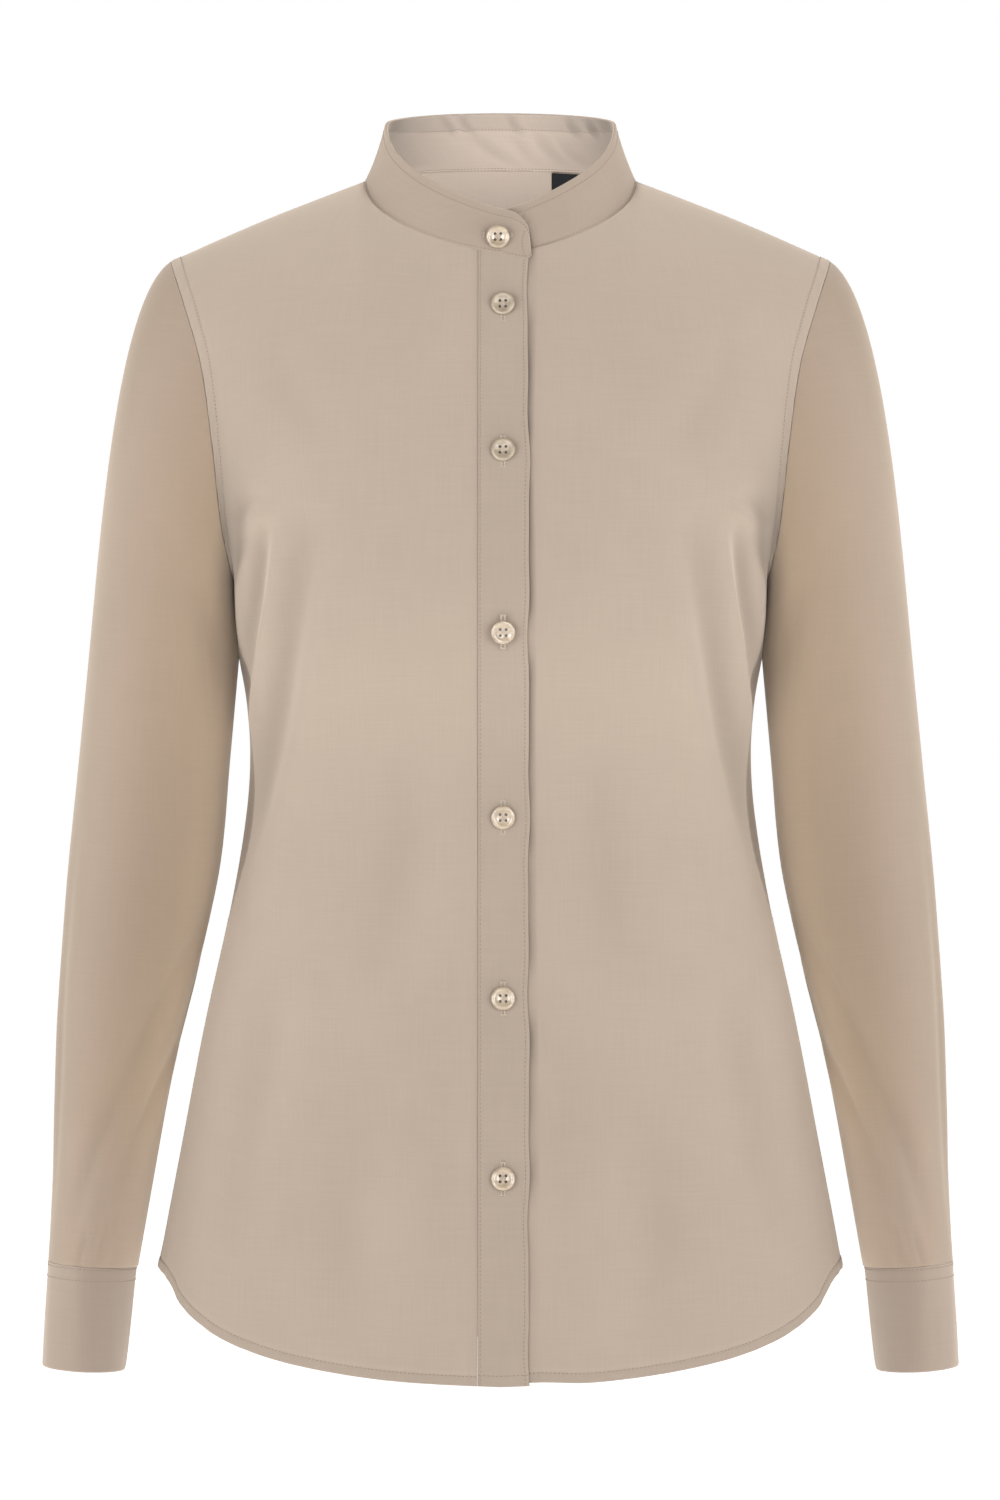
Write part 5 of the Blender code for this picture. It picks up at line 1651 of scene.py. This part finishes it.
    def inner_tones(self, patch: Patch, edge_row: Array, behind: Array) -> Array:
        """Give the painted shade inside: above the upper stitches, at the sides and in the corners,
        with painted light at the middle of the back.
        """
        out, depth = patch.points[..., 0], patch.points[..., 1]
        above = 1 - ease((patch.from_top - edge_row + 0.0004) / 0.0008)
        corner = ease(1 - np.abs(depth[-1:] - 0.020) / 0.026)
        tone = self.strip_painted_shade * above * ease(behind * 3.0)[None]
        tone = tone + self.corner_painted_shade * corner * ease(patch.from_foot / 0.006)
        tone = tone + self.side_painted_shade * bell(depth - 0.012, 0.009)
        return tone + self.middle_painted_light * bell(out - 0.012, 0.028) * ease(behind * 1.5)

    def end_shadow(self, patch: Patch) -> Array:
        """Give the shade that the over end throws on the under end, close along its edge."""
        flat = patch.points[..., (0, 2)]
        edge = np.concatenate([flat[:, -1], flat[-1, -self.over_columns:]])
        under = (np.arange(flat.shape[1]) < self.under_columns)[None] & (flat[..., 0] > 0)
        reach = np.linalg.norm(flat[:, :, None] - edge[None, None], axis=-1).min(axis=-1)
        shade = self.shadow * bell(reach, 0.0018) + self.wide_shadow * bell(reach, 0.005)
        return np.where(under, shade, 0.0)

    def label(self) -> None:
        """Make the bare neck label inside the back."""
        out = np.linspace(*self.label_out, 24)[None]
        rise = np.linspace(*self.label_rise, 16)[:, None]
        patch = Patch(self.form.point(Face.BACK, self.form.across_at(Face.BACK, out, rise), rise))
        patch.push(np.full(patch.points.shape[:2], self.label_inside))
        patch.push(0.0002 * ripple(patch.from_first, 0.5, 0.014))
        patch.measure()
        piece = self.maker.shell("neck_label_tape", patch, patch.fabric(),
                                 self.label_thickness, self.finishes.tape)
        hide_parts("neck_label")

    def build(self) -> None:
        """Make the band and the label."""
        self.band()
        self.label()


# ------------------------ buttons
@dataclass
class Buttons:
    """Four-hole buttons with a rim, their thread and their buttonholes."""

    maker: ClothMaker
    finishes: Finishes
    nodes: dict[str, bpy.types.Object]
    thick: float = 0.0024
    hole: float = 0.00082
    hole_spacing: float = 0.00155
    hole_floor: float = -0.25
    profile: tuple[Pair, ...] = (
        # share of the radius, height as a share of the thickness above the middle
        (0.0, -0.48), (0.80, -0.48), (0.93, -0.32), (1.0, -0.02), (0.985, 0.22), (0.94, 0.38),
        (0.87, 0.47), (0.79, 0.50), (0.71, 0.46), (0.62, 0.33), (0.53, 0.20), (0.42, 0.11),
        (0.25, 0.05), (0.0, 0.04))
    leans: dict[str, Pair] = field(default_factory=lambda: {
        # degrees that the face turns down and to the wearer's left
        "button_1": (25.0, -3.0), "button_2": (20.0, -8.0), "button_3": (10.0, -7.0),
        "button_4": (-2.0, 7.0), "button_5": (2.0, 0.0), "button_6": (-3.0, 4.0),
        "button_7": (-5.0, -2.0)})
    slips: dict[str, float] = field(default_factory=lambda: {"button_1": -0.0026})
    # buttons that get the darker horn copy: painted shade
    dull_and_shaded: tuple[str, ...] = ("button_2", "button_3")
    slit_length: float = 0.0178
    level_slit: float = 0.0150
    slit_width: float = 0.0030
    slit_radius: float = 0.0065
    cuff_middle: Pair = (0.2262, -0.022)
    slit_pitch: float = 0.00048
    slit_stitch: Pair = (0.00028, 0.00030)
    bar_stitch: Triple = (0.00034, 0.0009, 0.00040)
    bar_stitches: int = 4
    strand_shift: float = 0.00017
    strand_size: Pair = (0.00015, 0.00026)

    def place(self, node: str) -> tuple[Vector, Vector, float]:
        """Read a button's middle, its outward normal and its radius from its solid."""
        mesh = self.nodes[node].data
        points = np.array([vertex.co for vertex in mesh.vertices])
        centre = points.mean(axis=0)
        _, _, axes = np.linalg.svd(points - centre, full_matrices=False)
        radius = float(np.abs((points - centre) @ axes[0]).max())
        return Vector(centre), Vector(axes[2]).normalized(), radius

    def disc(self, radius: float) -> bmesh.types.BMesh:
        """Spin a button's profile round its axis."""
        shape = bmesh.new()
        corners = [shape.verts.new((radius * share, 0.0, self.thick * height))
                   for share, height in self.profile]
        edges = [shape.edges.new(pair) for pair in zip(corners, corners[1:])]
        bmesh.ops.spin(shape, geom=corners + edges, cent=(0, 0, 0), axis=(0, 0, 1),
                       angle=2 * math.pi, steps=44, use_merge=True)
        bmesh.ops.remove_doubles(shape, verts=shape.verts, dist=1e-6)
        bmesh.ops.recalc_face_normals(shape, faces=shape.faces)
        return shape

    def drill(self, piece: bpy.types.Object) -> None:
        """Sink the four holes, with painted shadow on their walls and floors, and keep the result
        in the mesh.
        """
        punch = bmesh.new()
        reach, floor = self.hole_spacing, self.thick * self.hole_floor
        spots = [(across * reach, along * reach) for across in (-1, 1) for along in (-1, 1)]
        for across, along in spots:
            spot = Matrix.Translation((across, along, floor + 0.005))
            bmesh.ops.create_cone(punch, cap_ends=True, segments=14, radius1=self.hole,
                                  radius2=self.hole, depth=0.01, matrix=spot)
        mesh = bpy.data.meshes.new("punch")
        punch.to_mesh(mesh)
        punch.free()
        tool = bpy.data.objects.new("punch", mesh)
        self.maker.collection.objects.link(tool)
        cut = piece.modifiers.new("holes", "BOOLEAN")
        cut.operation = "DIFFERENCE"
        cut.solver = "EXACT"
        cut.object = tool
        graph = bpy.context.evaluated_depsgraph_get()
        drilled = bpy.data.meshes.new_from_object(piece.evaluated_get(graph))
        piece.modifiers.clear()
        piece.data = drilled
        bpy.data.objects.remove(tool, do_unlink=True)
        drilled.materials.append(self.finishes.hole)
        for face in drilled.polygons:
            near = min(math.hypot(face.center.x - across, face.center.y - along)
                       for across, along in spots)
            if near < self.hole * 1.01 and face.center.z < self.thick * 0.04:
                face.material_index = 1

    def button(self, node: str, toward: Vector, up: Vector, slit: str) -> None:
        """Make one button with its thread and buttonhole.

        Args:
            node: the button's node.
            toward: a direction that its normal leans to.
            up: the way that its buttonhole's length is counted from.
            slit: "upright" or "level", the way the buttonhole runs.
        """
        centre, normal, radius = self.place(node)
        normal = normal if normal.dot(toward) > 0 else -normal
        side = up.cross(normal).normalized()
        top = normal.cross(side).normalized()
        turned = Matrix((side, top, normal)).transposed().to_4x4()
        seat = Matrix.Translation(centre) @ turned
        down, left = (math.radians(lean) for lean in self.leans.get(node, (0.0, 0.0)))
        rise = 0.6 * radius * math.sin(max(abs(down), abs(left)))
        slip = self.slips.get(node, 0.0)
        where = (seat @ Matrix.Translation((0, slip, rise)) @ Matrix.Rotation(down, 4, "X")
                 @ Matrix.Rotation(left, 4, "Y"))
        horn = self.finishes.dull_and_shaded_horn if node in self.dull_and_shaded else self.finishes.horn
        piece = self.maker.finished(node + "_disc", self.disc(radius), horn)
        self.drill(piece)
        piece.data.transform(where)
        piece.data.shade_smooth()
        piece.data.set_sharp_from_angle(angle=math.radians(55))
        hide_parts(node)
        self.thread(node, where)
        self.buttonhole(node, seat, slit, radius)

    def thread(self, node: str, where: Matrix) -> None:
        """Sew a button on: strands from hole to hole, crossed at its middle."""
        strands = bmesh.new()
        reach = self.hole_spacing * math.sqrt(2)
        for turn in (math.pi / 4, -math.pi / 4):
            for shift in (-self.strand_shift, self.strand_shift):
                lie = Matrix.Rotation(turn, 4, "Z") @ Matrix.Translation(
                    (0, shift, self.thick * 0.05))
                lay_grain(strands, where @ lie, (reach * 0.86, *self.strand_size), fine=2)
        for face in strands.faces:
            face.smooth = True
        piece = self.maker.finished(node + "_thread", strands, self.finishes.pale_thread)

    def buttonhole(self, node: str, where: Matrix, slit: str, radius: float) -> None:
        """Work a buttonhole under the button: close stitches round a slit."""
        stitches = bmesh.new()
        length = self.slit_length if slit == "upright" else self.level_slit
        length *= radius / self.slit_radius
        depth = -self.thick / 2 - 0.00025
        quarter = Matrix.Rotation(0 if slit == "upright" else math.pi / 2, 4, "Z")
        count = int(length / self.slit_pitch)
        for line in (-1, 1):
            for index in range(count):
                along = (index + 0.5) / count * length - length / 2
                lie = Matrix.Translation((line * self.slit_width * 0.29, along, depth))
                lay_grain(stitches, where @ quarter @ lie,
                          (self.slit_width * 0.24, *self.slit_stitch))
        for end in (-1, 1):
            for index in range(self.bar_stitches):
                across = (index - (self.bar_stitches - 1) / 2) * self.slit_width * 0.26
                lie = Matrix.Translation((across, end * length / 2, depth))
                lay_grain(stitches, where @ quarter @ lie, self.bar_stitch)
        for face in stitches.faces:
            face.smooth = True
        piece = self.maker.finished(node + "_buttonhole", stitches, self.finishes.pale_thread)

    def build(self) -> None:
        """Make the collar's button, the front's six and one for each cuff."""
        up, front = Vector((0, 0, 1)), Vector((0, -1, 0))
        self.button("button_1", front, up, "level")
        for index in range(2, 8):
            self.button("button_%d" % index, front, up, "upright")
        for side in Side:
            node = "cuff_button_" + side.name.lower()
            centre, _, _ = self.place(node)
            middle = Vector((side.value * self.cuff_middle[0], self.cuff_middle[1], centre.z))
            self.button(node, centre - middle, up, "level")


# ------------------------ studio
@dataclass
class Studio:
    """A white floor, even soft light and the camera."""

    floor_height: float = -0.78
    floor_size: float = 30.0
    camera_place: Triple = (-0.0003, -3.0, -0.3113)
    lens: float = 131.1
    sensor: float = 36.0
    sky: float = 0.45

    def floor(self) -> None:
        """Make the floor, which isn't part of the shirt."""
        sheet = bmesh.new()
        bmesh.ops.create_grid(sheet, x_segments=8, y_segments=8, size=self.floor_size,
                              matrix=Matrix.Translation((0, 0, self.floor_height)))
        mesh = bpy.data.meshes.new("studio_floor")
        sheet.to_mesh(mesh)
        sheet.free()
        shader = Shader("white_floor", Roughness=0.9, Base_Color=(0.9, 0.9, 0.9, 1.0),
                        Emission_Color=(1.0, 1.0, 1.0, 1.0), Emission_Strength=0.62)
        mesh.materials.append(shader.material)
        floor = bpy.data.objects.new("studio_floor", mesh)
        bpy.context.scene.collection.objects.link(floor)

    def softbox(self, name: str, place: Triple,
                aim: Triple, size: float, power: float) -> None:
        """Hang one soft light that looks at a point."""
        light = bpy.data.lights.new(name, "AREA")
        light.shape = "SQUARE"
        light.size = size
        light.energy = power
        lamp = bpy.data.objects.new(name, light)
        lamp.location = place
        lamp.visible_camera = False
        way = Vector(aim) - Vector(place)
        lamp.rotation_mode = "QUATERNION"
        lamp.rotation_quaternion = way.to_track_quat("-Z", "Y")
        bpy.context.scene.collection.objects.link(lamp)

    def lights(self) -> None:
        """Light the shirt evenly from all round, a little more from both sides in front."""
        world = bpy.data.worlds.new("studio")
        world.use_nodes = True
        background = world.node_tree.nodes["Background"]
        background.inputs["Color"].default_value = (1.0, 1.0, 1.0, 1.0)
        path = world.node_tree.nodes.new("ShaderNodeLightPath")
        level = world.node_tree.nodes.new("ShaderNodeMapRange")
        level.inputs["To Min"].default_value = self.sky
        level.inputs["To Max"].default_value = 1.0
        world.node_tree.links.new(path.outputs["Is Camera Ray"], level.inputs["Value"])
        world.node_tree.links.new(level.outputs["Result"], background.inputs["Strength"])
        bpy.context.scene.world = world
        middle, inside = (0.0, 0.0, -0.3), (0.0, 0.055, 0.008)
        for sign in (-1, 1):
            self.softbox("front_box", (1.3 * sign, -2.8, 0.0), middle, 1.3, 31.0)
            self.softbox("quarter_box", (2.0 * sign, -2.2, 0.0), middle, 1.3, 10.0)
            self.softbox("side_box", (2.9 * sign, 0.0, 0.0), middle, 1.3, 17.0)
        self.softbox("neck_box", (0.0, -0.03, -0.05), inside, 0.06, 0.095)

    def camera(self) -> None:
        """Set the camera level with the shirt's middle."""
        camera = bpy.data.cameras.new("camera")
        camera.lens = self.lens
        camera.sensor_width = self.sensor
        stand = bpy.data.objects.new("camera", camera)
        stand.location = self.camera_place
        stand.rotation_euler = (math.pi / 2, 0, 0)
        bpy.context.scene.collection.objects.link(stand)
        bpy.context.scene.camera = stand

    def build(self) -> None:
        """Set up the floor, the lights and the camera."""
        self.floor()
        self.lights()
        self.camera()
        bpy.context.scene.view_settings.view_transform = "Standard"


def main() -> None:
    """Build the shirt's pieces in order and set up the studio."""
    logging.basicConfig(level=logging.INFO, format="%(name)s %(message)s")
    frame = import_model()
    collection = bpy.data.collections.new("shirt")
    bpy.context.scene.collection.children.link(collection)
    form, maker, finishes = BodyForm(), ClothMaker(collection), Finishes()
    Body(form, maker, finishes).build()
    Sleeves(form, maker, finishes).build()
    Collar(form, maker, finishes).build()
    Buttons(maker, finishes, frame["nodes"]).build()
    Studio().build()


if __name__ == "__main__":
    main()
